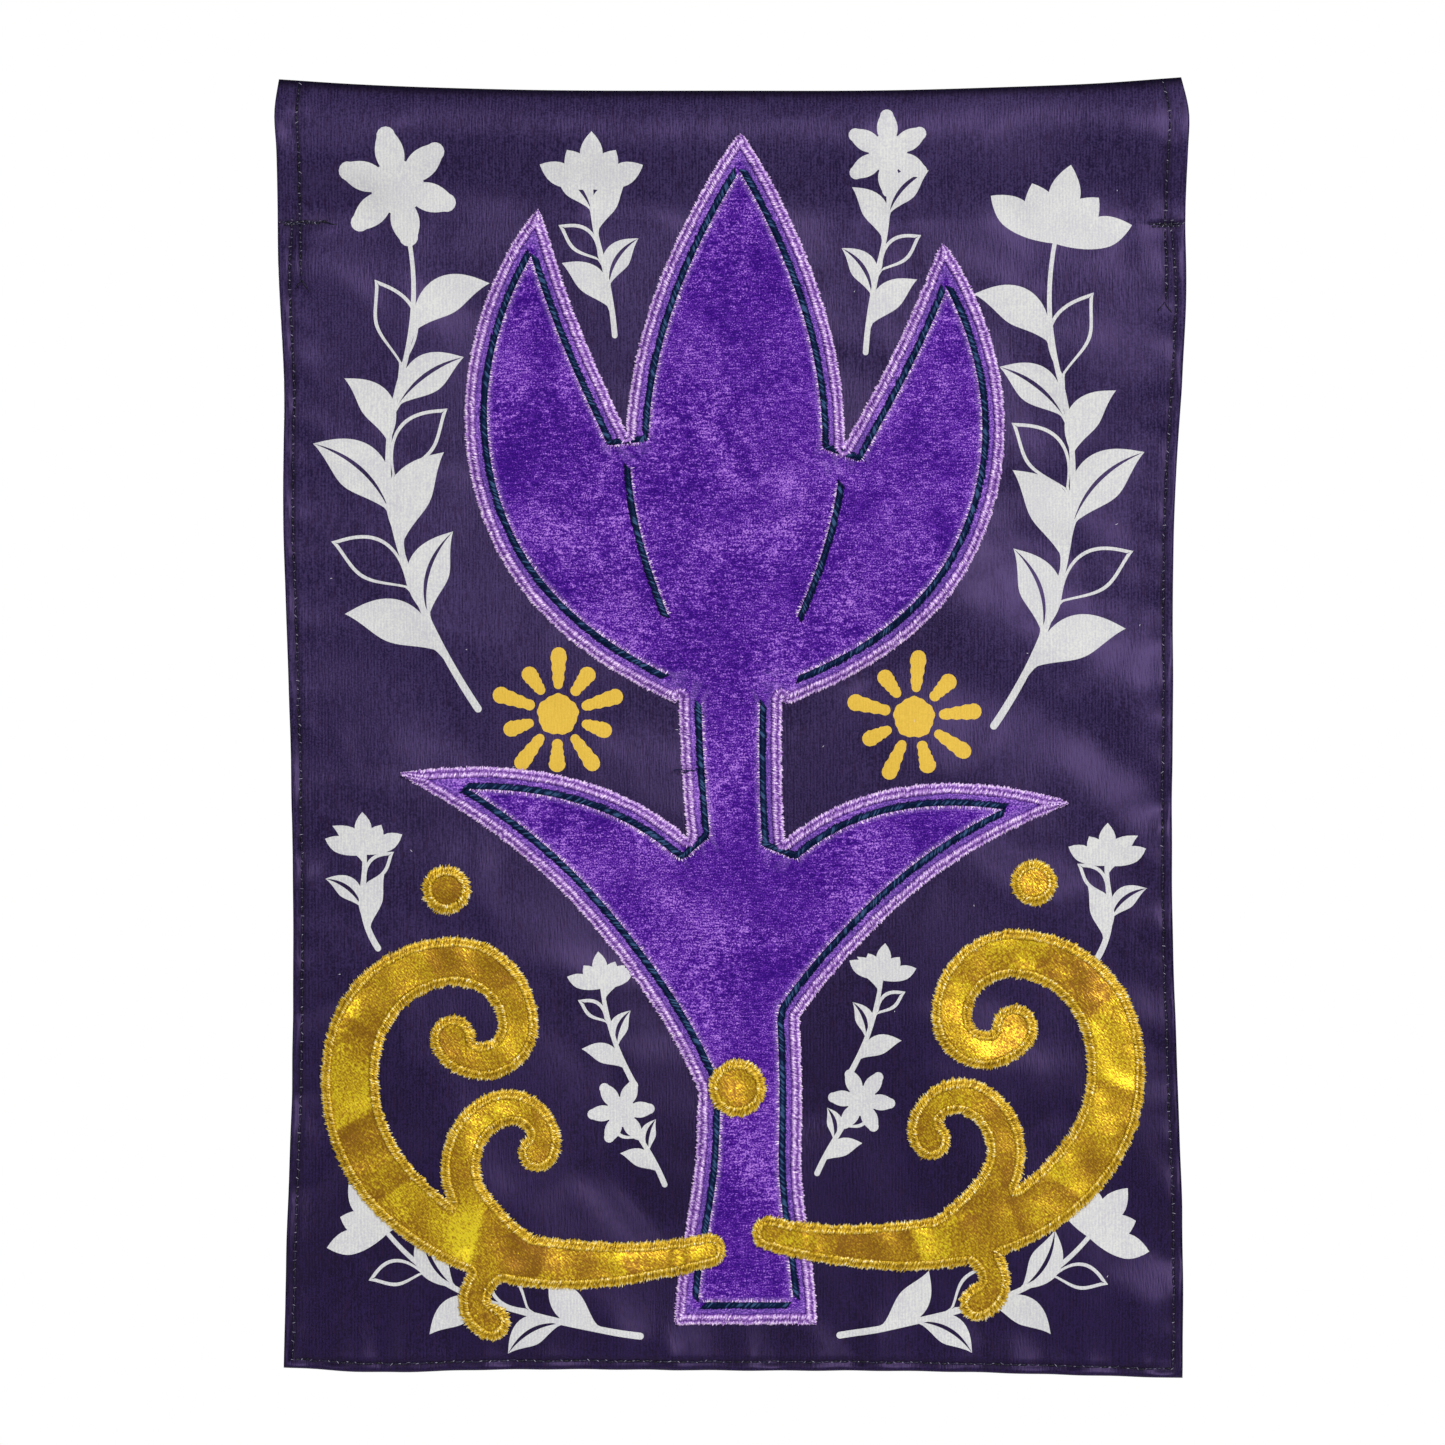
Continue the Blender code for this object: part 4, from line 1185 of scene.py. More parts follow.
def woven_tone(finish, ribs):
    """Tone of the weave: even rows of ribs 1.15 mm apart, finer ribs, and specks of single threads."""
    settings = {"wave_type": "BANDS", "bands_direction": "X"}
    values = {"Scale": RIB_ROWS, "Distortion": 1.6, "Detail": 1.0, "Detail Scale": 1.0}
    rows = finish.node("ShaderNodeTexWave", settings, {"Vector": finish.place, **values}, 1)
    return rows * 0.10 + ribs * 0.28 + finish.long_grain(CLOTH_SPECKS) * 0.62


def purple_cloth():
    """Satin whose sheen takes the cloth's own colour; painted shade darkens its base colour towards the free
    hem, and painted sheen lightens it towards the top.
    """
    sheen = {"Specular IOR Level": 0.42, "Specular Tint": (0.62, 0.42, 1.0, 1.0)}
    finish = Finish("dark_purple_ribbed_satin", sheen)
    ribs = finish.long_grain(CLOTH_RIBS)
    weave = woven_tone(finish, ribs)
    clouds = finish.grain(finish.place, 18.0, 3.0)
    tone = weave * 0.72 + finish.long_grain(CLOTH_LONG_RIBS) * 0.15 + clouds * 0.13
    share = finish.between(tone, 0.39, 0.61)
    # Painted sheen and shade: the dye goes from lighter near the top to darker towards the hem.
    height = finish.node("ShaderNodeSeparateXYZ", None, {"Vector": finish.place}, "Z")
    drift = finish.grain(finish.place, 5.0, 1.0)
    painted_sheen_by_height = finish.between(height + drift * 0.12, -0.33, -0.10)
    colour = finish.mixed(painted_sheen_by_height, finish.mixed(share, *LOWER_DYE_PAINTED_SHADE), finish.mixed(share, *UPPER_DYE_PAINTED_SHEEN))
    red = finish.between(finish.long_grain(CLOTH_RED_SPECKS), 0.55, 0.75, 0.0, 0.6)
    colour = finish.mixed(red, colour, RED_SPECK)
    # Painted shade: the base colour darkens along the seams and the top fold.
    finish.feed("Base Color", finish.mixed(finish.carried("pressed"), colour, PAINTED_SHADE_DYE))
    finish.feed("Roughness", finish.between(weave, 0.3, 0.7, 0.42, 0.50))
    finish.feed("Normal", finish.bumped(ribs, 0.00011))
    return finish.material


def printed_ink(name, thin_and_thick):
    """Matt ink that has soaked into the weave, so the cloth's ribs still show through."""
    finish = Finish(name, {"Specular IOR Level": 0.2})
    ribs = finish.long_grain(CLOTH_RIBS)
    weave = woven_tone(finish, ribs)
    patches = finish.grain(finish.place, 70.0, 3.0)
    share = finish.between(weave * 0.75 + patches * 0.20, 0.32, 0.64)
    finish.feed("Base Color", finish.mixed(share, *thin_and_thick))
    finish.feed("Roughness", finish.between(weave, 0.3, 0.8, 0.62, 0.75))
    finish.feed("Normal", finish.bumped(ribs, 0.00009))
    return finish.material


def purple_velvet():
    """Crushed pile: nap patches, fine ribs across, and pale tips where stitches part the pile, partly painted
    sheen.
    """
    sheen = {"Sheen Weight": 0.10, "Sheen Roughness": 0.4, "Sheen Tint": (0.75, 0.45, 1.0, 1.0)}
    finish = Finish("crushed_purple_velvet", {"Specular IOR Level": 0.12, **sheen})
    specks = finish.long_grain(VELVET_SPECKS, 2.0, 0.7)
    ribs = finish.long_grain(VELVET_RIBS)
    tufts = finish.long_grain(VELVET_TUFTS, 2.0, 0.6)
    crush = finish.grain(finish.place, 34.0, 3.0, 0.55, 0.8)
    nap = finish.between(specks * 0.78 + ribs * 0.29 + tufts * 0.14 + crush * 0.29, 0.628, 0.928)
    parted = finish.carried("parted") * finish.between(specks, 0.34, 0.60, 0.25, 1.0)
    finish.feed("Base Color", finish.mixed(parted, finish.toned(nap, VELVET_TONES), PARTED_PILE_PAINTED_SHEEN))
    finish.feed("Roughness", finish.between(tufts, 0.3, 0.7, 0.95, 0.75))
    finish.feed("Normal", finish.bumped(specks * 0.6 + ribs * 0.4 + tufts * 0.4, 0.00040))
    return finish.material


def gold_lame():
    """Metallic twill with painted light in its base colour: bright where a crease would turn it to the light,
    brown where it would turn away.
    """
    finish = Finish("gold_lame_twill", {"Metallic": 0.65, "Specular IOR Level": 0.5})
    settings = {"rotation_type": "Y_AXIS"}
    values = {"Vector": finish.place, "Angle": math.radians(TWILL_ANGLE)}
    leaning = finish.node("ShaderNodeVectorRotate", settings, values)
    rising = finish.long_grain(TWILL_RISING, place=leaning)
    twill = rising * 0.65 + finish.long_grain(TWILL_FALLING, place=leaning) * 0.35
    glints = finish.grain(finish.place, 1400.0, 1.0)
    patches = finish.grain(finish.place, 42.0, 2.0, 0.5, 0.4)
    # Painted light: the crease light, the patches and the glints brighten and darken the base colour.
    light = finish.carried("crinkle") * 0.78 + patches * 0.22
    shade = finish.between(light * 0.72 + twill * 1.58 + glints * 0.24, 0.89, 1.66)
    finish.feed("Base Color", finish.toned(shade, LAME_TONES))
    finish.feed("Roughness", finish.between(twill, 0.3, 0.7, 0.48, 0.34))
    finish.feed("Normal", finish.bumped(twill * 0.8 + glints * 0.3, 0.00016))
    return finish.material


def thread(name, look):
    """Thread whose tone follows the shade that each strand carries, with a fine twist."""
    finish = Finish(name, look.constants)
    twist = finish.grain(finish.place, 1500.0, 2.0)
    share = finish.carried("shade") + (twist - 0.5) * (2 * look.twist)
    finish.feed("Base Color", finish.toned(share, look.tones))
    finish.feed("Roughness", finish.between(twist, 0.3, 0.7, 0.46, 0.34))
    return finish.material


def piece(name, points, faces, materials, numbers):
    """A mesh that rides on the flag, with the numbers that it carries at its points."""
    mesh = bpy.data.meshes.new(name)
    mesh.from_pydata(np.asarray(points).tolist(), [], faces)
    for material in materials:
        mesh.materials.append(material)
    for label, values in numbers.items():
        attribute = mesh.attributes.new(label, "FLOAT", "POINT")
        attribute.data.foreach_set("value", np.asarray(values, dtype=np.float32))
    mesh.shade_smooth()
    made = bpy.data.objects.new(name, mesh)
    bpy.context.scene.collection.objects.link(made)
    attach(made, "root")
    return made


def grid_faces(numbers):
    """Faces of four corners between neighbours in a grid of point numbers."""
    corners = [numbers[:-1, :-1], numbers[:-1, 1:], numbers[1:, 1:], numbers[1:, :-1]]
    return np.stack(corners, axis=-1).reshape(-1, 4).tolist()


def strands(paths, width, height, arc, taper):
    """Points and faces of many short threads, each an open arch swept along its path."""
    count, stations, _ = paths.shape
    along = np.gradient(paths, axis=1)
    along /= np.maximum(np.linalg.norm(along, axis=2), 1e-9)[:, :, None]
    side = np.cross(along, np.array([0.0, -1.0, 0.0]))
    side /= np.maximum(np.linalg.norm(side, axis=2), 1e-9)[:, :, None]
    rise = np.cross(side, along)
    turns = np.linspace(0, math.pi, arc)
    widths = np.broadcast_to(width, (count,))[:, None] * np.asarray(taper)
    heights = np.broadcast_to(height, (count,))[:, None] * np.asarray(taper)
    points = (
        paths[:, :, None, :]
        + side[:, :, None, :] * (np.cos(turns) * widths[:, :, None] / 2)[..., None]
        + rise[:, :, None, :] * (np.sin(turns) * heights[:, :, None])[..., None]
    ).reshape(-1, 3)
    n, s, a = np.meshgrid(np.arange(count), np.arange(stations - 1), np.arange(arc - 1), indexing="ij")
    corner = (n * stations + s) * arc + a
    faces = np.stack([corner, corner + arc, corner + arc + 1, corner + 1], axis=-1).reshape(-1, 4)
    return points, faces.tolist()


def sewn(name, paths, width, height, arc, taper, material, shade):
    """A piece of many threads, with a shade for each of them or for each place along them."""
    count, stations, _ = paths.shape
    points, faces = strands(paths, width, height, arc, taper)
    shades = np.broadcast_to(np.reshape(shade, (count, -1)), (count, stations))
    return piece(name, points, faces, [material], {"shade": np.repeat(shades.ravel(), arc)})


def laid(flat, rise_at, lift):
    """Paths of threads that lie on the flag, over what carries them and up by a lift of their own."""
    x, z = flat[..., 0], flat[..., 1]
    y = front_at(x.ravel(), z.ravel()) - rise_at(x.ravel(), z.ravel())
    return np.stack([x, y.reshape(x.shape) - lift, z], axis=-1)


def no_rise(x, z):
    """Height of what lies on the bare cloth."""
    return 0 * x


def edge_taper(stations, ends=0.45):
    """Thickness along a thread: thinner where it goes down into the cloth."""
    t = np.linspace(-1, 1, stations)
    return ends + (1 - ends) * np.sqrt(np.maximum(1 - t**4, 0))


def crease_lines(scroll):
    """The middle, the way ahead, the reach and the light of each crease across a scroll."""
    line = stroke_line(scroll.start, scroll.runs)
    lines = []
    for crease in scroll.creases:
        x, z, way = place_and_way(line, crease.at)
        way += math.radians(crease.lean)
        lines.append((x, z, math.cos(way), math.sin(way), crease.reach, crease.light))
    return lines


def creased(x, z, lines):
    """How much painted light and shade the creases give each place, and how far they push it out."""
    light = np.zeros_like(x)
    bulge = np.zeros_like(x)
    for middle_x, middle_z, way_x, way_z, reach, strength in lines:
        ahead = (x - middle_x) * way_x + (z - middle_z) * way_z
        away = np.hypot(x - middle_x, z - middle_z)
        near = np.exp(-((away / CREASE_SPAN) ** 4))
        lit = np.exp(-np.maximum(ahead, 0) / reach) * smooth_step(ahead / CREASE_LIT_EDGE)
        dim = np.exp(np.minimum(ahead, 0) / (0.7 * reach)) * smooth_step(-ahead / CREASE_DIM_EDGE)
        light += strength * near * (lit - CREASE_DIMMING * dim)
        bulge += abs(strength) * near * np.exp(-((ahead / (0.4 * reach)) ** 2))
    return light, bulge


def velvet_rise(inside):
    """Height of the velvet at a distance inside its edge, drawn down along the rope stitch."""
    rise = VELVET_EDGE + (VELVET_RISE - VELVET_EDGE) * smooth_step(inside / VELVET_SLOPE)
    return rise - ROPE_TROUGH * np.exp(-(((inside - ROPE_INSET) / ROPE_TROUGH_REACH) ** 2))


def carrier_rise(x, z, tulip):
    """Height at which a lame piece lies: on the cloth, or up over the velvet and its edging."""
    inside = distance_inside(x, z, tulip)
    climb = smooth_step((inside + CLIMB_START) / CLIMB_LENGTH)
    bulge = np.exp(-(((inside - BULGE_INSET) / BULGE_REACH) ** 2))
    return (VELVET_RISE + LAME_OVER_VELVET) * climb + BULGE_HEIGHT * bulge


def cut_out_sheet(name, outline, step, insets, rise_at, numbers_at, material):
    """A cut-out as a thin sheet: points on an even grid and along lines inside its outline."""
    low = outline.min(axis=0)
    high = outline.max(axis=0)
    rows = np.arange(low[1], high[1], step * EVEN_ROW)
    grid_x, grid_z = np.meshgrid(np.arange(low[0], high[0], step), rows)
    grid_x[1::2] += step / 2
    x, z = grid_x.ravel(), grid_z.ravel()
    keep = distance_inside(x, z, outline) > insets[-1] + 0.6 * step
    inner = [np.column_stack([x[keep], z[keep]])]
    places, along = evenly_spaced(outline, step * RIM_STEP, True)
    for inset in insets:
        line = places + left_of(along) * inset
        clear = distance_inside(line[:, 0], line[:, 1], outline) > CLEAR_OF_RIM * inset
        inner.append(line[clear])
    points = [Vector(point) for point in np.concatenate([places, *inner])]
    flat, triangles = triangles_inside(points, [list(range(len(places)))])
    x, z = flat.T
    inside = distance_inside(x, z, outline)
    y = front_at(x, z) - rise_at(x, z, inside)
    sheet = np.column_stack([x, y, z])
    return piece(name, sheet, triangles, [material], numbers_at(x, z, inside))


def edging(name, outline, look, rise_at, material, seed):
    """Satin stitches side by side over a raw edge, with ragged ends, and the padding under them."""
    chance = np.random.default_rng(seed)
    places, along = evenly_spaced(outline, look.pitch, True, EDGING_WAY_REACH)
    count = len(places)
    at = np.arange(count) * look.pitch
    drift = LEAN_DRIFT * uneven(at, 0 * at, LEAN_DRIFT_LENGTH, seed)
    lean = (look.slant + drift + chance.normal(0, look.scatter, count))[:, None]
    way = left_of(along) * np.cos(lean) + along * np.sin(lean)
    reach = look.reach * (1 + chance.normal(0, REACH_SCATTER, count))
    for share in SHORTER_REACHES:
        tips = places + way * reach[:, None]
        crowded = distance_inside(tips[:, 0], tips[:, 1], outline) < CROWDED_SHARE * reach
        reach = np.where(crowded, np.minimum(reach, look.reach * share), reach)
    overhang = look.overhang * np.clip(1 + chance.normal(0, OVERHANG_SCATTER, count), *OVERHANG_LIMITS)
    t = np.array(look.across)
    strayed = t + chance.normal(0, RIDGE_SCATTER, count)[:, None] * np.sin(math.pi * t)
    inset = -overhang[:, None] + (reach + overhang)[:, None] * t
    flat = places[:, None, :] + way[:, None, :] * inset[:, :, None]
    dome = np.interp(strayed, t, look.heights) * (1 + chance.normal(0, HEIGHT_SCATTER, count))[:, None]
    paths = laid(flat, lambda x, z: rise_at(x, z, np.tile(t, count)), dome)
    widths = look.thread * chance.uniform(*EDGING_THREADS, count)
    # Painted highlights on the ridges and painted shade in the dip, mixed with a random tone for each thread.
    shade = (1 - look.mottle) * np.interp(strayed, t, look.shades)
    shade += chance.uniform(0, look.mottle, count)[:, None]
    threads = sewn(name, paths, widths, widths * 0.5, 3, edge_taper(len(t), 0.5), material, shade)
    return [threads, padding(f"{name}_padding", paths[::2], shade[::2], material)]


def padding(name, paths, shade, material):
    """A band just under the stitches, so that no gap between them shows the cloth; its tone is darkened as
    painted shade.
    """
    under = paths + np.array([0.0, PADDING_DEPTH, 0.0])
    numbers = np.arange(under.shape[0] * under.shape[1]).reshape(under.shape[:2])
    faces = grid_faces(np.concatenate([numbers, numbers[:1]]))
    shades = {"shade": (shade * PADDING_PAINTED_SHADE).ravel()}
    return piece(name, under.reshape(-1, 3), faces, [material], shades)


def runs_inside(outline, inset):
    """Lines that follow an outline at a distance inside it, broken where the shape is too narrow."""
    places, along = evenly_spaced(outline, ROPE_RUN_STEP, True)
    line = places + left_of(along) * inset
    clear = distance_inside(line[:, 0], line[:, 1], outline) > ROPE_RUN_CLEAR * inset
    first_break = int(np.flatnonzero(~clear)[0])
    line = np.roll(line, -first_break, axis=0)
    clear = np.roll(clear, -first_break)
    turns = np.flatnonzero(clear[1:] != clear[:-1]) + 1
    stretches = zip(np.split(line, turns), clear[np.concatenate([[0], turns])])
    runs = [stretch for stretch, is_clear in stretches if is_clear and len(stretch) > ROPE_RUN_SHORTEST]
    return [run[ROPE_RUN_TRIM:-ROPE_RUN_TRIM] for run in runs]


def rope_stitches(name, lines, rise_at, material, seed):
    """Slanted overlapping stitches that look like a laid rope."""
    chance = np.random.default_rng(seed)
    t = np.linspace(-0.5, 0.5, len(ROPE_ARCH))
    full_length = ROPE_WIDTH / math.sin(math.radians(ROPE_SLANT))
    flat = []
    for line in lines:
        places, along = evenly_spaced(line, ROPE_PITCH, False, ROPE_WAY_REACH)
        slant = np.radians(ROPE_SLANT + chance.normal(0, ROPE_SLANT_SCATTER, len(places)))[:, None]
        way = along * np.cos(slant) + left_of(along) * np.sin(slant)
        length = full_length * (1 + chance.normal(0, ROPE_LENGTH_SCATTER, len(places)))
        flat.append(places[:, None, :] + way[:, None, :] * (length[:, None] * t)[:, :, None])
    paths = laid(np.concatenate(flat), rise_at, ROPE_ARCH)
    widths = ROPE_THREAD * chance.uniform(*SEWING_THREADS, len(paths))
    # Painted glints: each stitch is painted lighter on its crown, by a random amount.
    shade = chance.uniform(0, 1, len(paths))[:, None] ** 2.2 * ROPE_GLINT
    return sewn(name, paths, widths, widths * 0.5, 4, edge_taper(len(t), 0.5), material, shade)


def stalked_profile(t):
    """Width of a printed leaf: a thin stalk that opens into the blade."""
    return np.maximum(leaf_profile(np.clip((t - 0.12) / 0.88, 0, 1), 0.52) ** 1.2, 0.11 * (1 - t) ** 0.3)


def halved_leaf(blade, is_open):
    """A leaf printed as two halves: bare along its vein, or an open one that is bare inside its line."""
    line = blade_line(blade, stalked_profile, HALF_LEAF_STEP)
    _, _, _, left = sides_of(line)
    t = np.linspace(0, 1, len(line))
    slit = VEIN_SLIT * np.sin(math.pi * np.clip((t - 0.14) / 0.86, 0, 1))
    if is_open:
        slit = np.maximum(line[:, 2] / 2 - BRUSHED_LINE * (0.55 + 0.45 * t), 0.02 * VEIN_SLIT)
    outer = np.maximum(line[:, 2] / 2, slit * 1.05 + 0.00004)
    halves = []
    for side in (left, -left):
        near = line[:, :2] + side * slit[:, None]
        far = line[:, :2] + side * outer[:, None]
        halves.append(np.concatenate([near, far[-2:0:-1]]))
    return halves


def fan_flower(centre, facing, reach, petals=5, spread=130):
    """Pointed petals spread like a fan, from one place."""
    shapes = []
    for i in range(petals):
        turn = math.radians(facing + spread * (i / (petals - 1) - 0.5))
        tip = centre + reach * (0.9 + 0.1 * math.cos(3.1 * i)) * way_at(turn)
        blade = Blade(*centre, *tip, 0.0, reach * 0.40)
        petal = blade_line(blade, lambda t: leaf_profile(t, FAN_PETAL_FULLEST), PRINT_STEP)
        shapes.append(pointed_outline(petal))
    return shapes


def round_flower(centre, reach, phase, petals=6):
    """Petals round a disc, each broad at its outer end."""
    shapes = []
    for i in range(petals):
        way = way_at(phase + 2 * math.pi * i / petals)
        blade = Blade(*(centre + 0.26 * reach * way), *(centre + reach * way), 0.0, reach * 0.56)
        petal = blade_line(blade, lambda t: 0.25 + 0.75 * np.sin(math.pi * (0.12 + 0.70 * t)), PRINT_STEP)
        shapes.append(stroke_outline(petal))
    shapes.append(berry_outline(Berry(*centre, 0.52 * reach), 24))
    return shapes


def sprig_shapes(start, runs, foliage):
    """A bent stem with leaves to both sides in turn, two in three of them split, and a flower."""
    line = stroke_line(start, runs, PRINT_STEP)
    shapes = [stroke_outline(line)]
    lengths = lengths_along(line[:, :2])
    for k in range(foliage.leaves):
        at = FIRST_LEAF + LEAVES_SPAN * k / max(1, foliage.leaves - 1)
        side = foliage.side * (1 if k % 2 == 0 else -1)
        size = 1.0 - 0.30 * at + 0.10 * math.sin(5.0 * k)
        i = min(int(np.searchsorted(lengths, at * lengths[-1])), len(line) - 2)
        way = line[i + 1, :2] - line[i, :2]
        angle = math.atan2(way[1], way[0]) + side * math.radians(LEAF_LEAN + 6 * math.sin(3.0 * k))
        base = line[i, :2]
        tip = base + size * foliage.length * way_at(angle)
        bow = -side * (0.13 + 0.05 * math.sin(2.3 * k))
        leaf = Blade(*base, *tip, bow, size * foliage.width)
        if k % 3 == 0:
            shapes.append(pointed_outline(blade_line(leaf, stalked_profile, LEAF_STEP)))
        else:
            leaf = leaf._replace(width=leaf.width * HALVED_LEAF_WIDTH)
            shapes += halved_leaf(leaf, k % 3 == 2)
    way = line[-1, :2] - line[-2, :2]
    way /= np.linalg.norm(way)
    facing = math.atan2(way[1], way[0])
    if foliage.head == "round":
        shapes += round_flower(line[-1, :2] + way * foliage.reach * 0.8, foliage.reach, facing)
    else:
        shapes += fan_flower(line[-1, :2] - way * 0.002, math.degrees(facing), foliage.reach)
    return shapes


def sun_shapes(sun):
    """A brushed disc with rays whose edges waver like dry paint."""
    turns = full_turn(60)
    waver = 1 + 0.04 * np.sin(5 * turns + sun.phase) + 0.025 * np.sin(13 * turns)
    disc = 0.34 * sun.reach * waver[:, None] * np.column_stack([np.cos(turns), np.sin(turns)])
    centre = np.array([sun.x, sun.z])
    shapes = [centre + disc]
    for i in range(sun.rays):
        way = way_at(sun.phase + 2 * math.pi * i / sun.rays)
        end = sun.reach * (1.0 if i % 2 == 0 else 0.82)
        blade = Blade(*(centre + 0.50 * sun.reach * way), *(centre + end * way), 0.0, sun.reach * 0.27)
        ray = blade_line(blade, lambda t: 0.62 + 0.38 * t + 0.07 * np.sin(19 * t + 2 * i), RAY_STEP)
        shapes.append(stroke_outline(ray))
    return shapes


def cloth_columns():
    """Places across the flat cloth, from its left edge."""
    count = int(round((FLAG_WIDTH - 2 * EDGE_STEPS[-1]) / GRID_STEP))
    inner = np.linspace(EDGE_STEPS[-1], FLAG_WIDTH - EDGE_STEPS[-1], count + 1)[1:-1]
    return np.concatenate([EDGE_STEPS, inner, FLAG_WIDTH - np.array(EDGE_STEPS)[::-1]])


def cloth_rows():
    """Places down the flat cloth from its fold, and the number of the row that ends the sleeve."""
    sleeve = np.linspace(FOLD_STEPS[-1], SLEEVE_DEPTH - ROW_OVER_SEAM, SLEEVE_ROWS)[1:]
    sleeve = np.concatenate([FOLD_STEPS, sleeve, [SLEEVE_DEPTH]])
    under_seam, field_start = (SLEEVE_DEPTH + row for row in ROWS_UNDER_SEAM)
    field_end = FLAG_DROP - EDGE_STEPS[-1]
    field = np.linspace(field_start, field_end, int(round((field_end - field_start) / GRID_STEP)) + 1)
    hem = FLAG_DROP - np.array(EDGE_STEPS)[::-1][1:]
    return np.concatenate([sleeve, [under_seam], field, hem]), len(sleeve) - 1


def side_wall(front, back, front_inside, back_inside, sleeve_end):
    """Faces that close one side of the cloth, and leave the sleeve open."""
    in_sleeve = slice(INSIDE_FIRST_ROW, sleeve_end + 1)
    below = slice(sleeve_end + 1, None)
    fold = [*front[:3], front_inside[1], front_inside[0], back_inside[1], back[2], back[1]]
    seam = [
        front[sleeve_end], front_inside[-1], back_inside[-1],
        back[sleeve_end], back[sleeve_end + 1], front[sleeve_end + 1],
    ]
    return [
        fold[::-1],
        *grid_faces(np.column_stack([front[in_sleeve], front_inside[1:]])),
        *grid_faces(np.column_stack([back_inside[1:], back[in_sleeve]])),
        seam,
        *grid_faces(np.column_stack([front[below], back[below]])),
    ]


def hung_cloth(materials, prints):
    """The doubled cloth as one closed sheet, with the print as parts of its front skin."""
    rows, sleeve_end = cloth_rows()
    down, u = np.meshgrid(rows, cloth_columns() / FLAG_WIDTH, indexing="ij")
    grid = skins(u, down)
    front_points, faces, inks, front = front_skin(grid, prints)
    points = [front_points]
    numbered = []
    in_sleeve = slice(INSIDE_FIRST_ROW, sleeve_end + 1)
    for skin, part, drop in (
        ("back", slice(1, None), 0.0),
        ("middle", slice(0, 1), FOLD_DEPTH),
        ("front_inner", in_sleeve, 0.0),
        ("back_inner", in_sleeve, 0.0),
    ):
        x, y, z = (grid[label][part] for label in ("x", skin, "z"))
        numbered.append(sum(map(len, points)) + np.arange(x.size).reshape(x.shape))
        points.append(np.column_stack([x.ravel(), y.ravel(), z.ravel() - drop]))
    back, fold_inside, front_inner, back_inner = numbered
    back = np.concatenate([front[:1], back])
    front_inside = np.concatenate([fold_inside, front_inner])
    back_inside = np.concatenate([fold_inside, back_inner])

    faces += grid_faces(back) + grid_faces(front_inside) + grid_faces(back_inside.T)
    faces += grid_faces(np.stack([front_inside[-1], back_inside[-1]]))
    faces += grid_faces(np.column_stack([front[-1], back[-1]]))
    layers = (front, back, front_inside, back_inside)
    faces += side_wall(*(layer[:, 0] for layer in layers), sleeve_end)
    faces += [wall[::-1] for wall in side_wall(*(layer[:, -1] for layer in layers), sleeve_end)]

    every = np.concatenate(points)
    share, drop = share_and_down(every[:, 0], every[:, 2])
    from_seam = seam_distance(share * FLAG_WIDTH, drop)
    # Painted shade along the seams and the top fold, carried to the cloth's base colour.
    painted_shade_by_seam = SEAM_PAINTED_SHADE * np.exp(-((from_seam / SEAM_PAINTED_SHADE_REACH) ** 2))
    painted_shade_by_fold = FOLD_PAINTED_SHADE * np.exp(-((drop / FOLD_PAINTED_SHADE_REACH) ** 4))
    pressed = {"pressed": np.maximum(painted_shade_by_seam, painted_shade_by_fold)}
    made = piece("hung_cloth", every, faces, materials, pressed)
    ink_of_face = np.zeros(len(faces), dtype=np.int32)
    ink_of_face[:len(inks)] = inks
    made.data.polygons.foreach_set("material_index", ink_of_face)
    return made


def front_skin(grid, prints):
    """The front skin, cut along the print's outlines: its points, its faces, the ink of each face,
    and the numbers of the grid's own points."""
    row_count, column_count = grid["x"].shape
    numbers = np.arange(row_count * column_count).reshape(row_count, column_count)
    rim = np.concatenate([numbers[:, 0], numbers[-1, 1:], numbers[-2::-1, -1], numbers[0, -2:0:-1]])
    points = [Vector(place) for place in np.column_stack([grid["x"].ravel(), grid["z"].ravel()])]
    outlines = [rim.tolist()]
    inks = [0]
    for ink, shapes in enumerate(prints, start=1):
        for shape in shapes:
            outline = turned_left(shape)
            outlines.append(list(range(len(points), len(points) + len(outline))))
            points.extend(Vector(place) for place in outline)
            inks.append(ink)
    flat, _, triangles, origins, _, sources = delaunay_2d_cdt(points, [], outlines, 0, 1e-6)
    x, z = np.array(flat).T
    y = front_at(x, z)
    number_of = np.full(numbers.size, -1)
    heights = grid["front"].ravel()
    for number, origin in enumerate(origins):
        for old in origin:
            if old < numbers.size:
                number_of[old] = number
                y[number] = heights[old]
    kept = [(list(triangle), source) for triangle, source in zip(triangles, sources) if source]
    faces = [triangle for triangle, _ in kept]
    ink_of_face = [max(inks[i] for i in source) for _, source in kept]
    return np.column_stack([x, y, z]), faces, ink_of_face, number_of.reshape(numbers.shape)


def short_lines(centres, turn, length, places):
    """Short straight lines in the flat, each turned about its own centre."""
    way = np.column_stack([np.cos(turn), np.sin(turn)])
    return centres[:, None, :] + (length[:, None] * np.array(places))[:, :, None] * way[:, None, :]


def on_skins(flat, lift):
    """Paths in the flat cloth as they hang: over its front skin, and over its back skin."""
    places = skins(flat[:, :, 0] / FLAG_WIDTH, flat[:, :, 1])
    front = np.stack([places["x"], places["front"] - lift, places["z"]], axis=2)
    back = np.stack([places["x"], places["back"] + lift, places["z"]], axis=2)
    return front, back


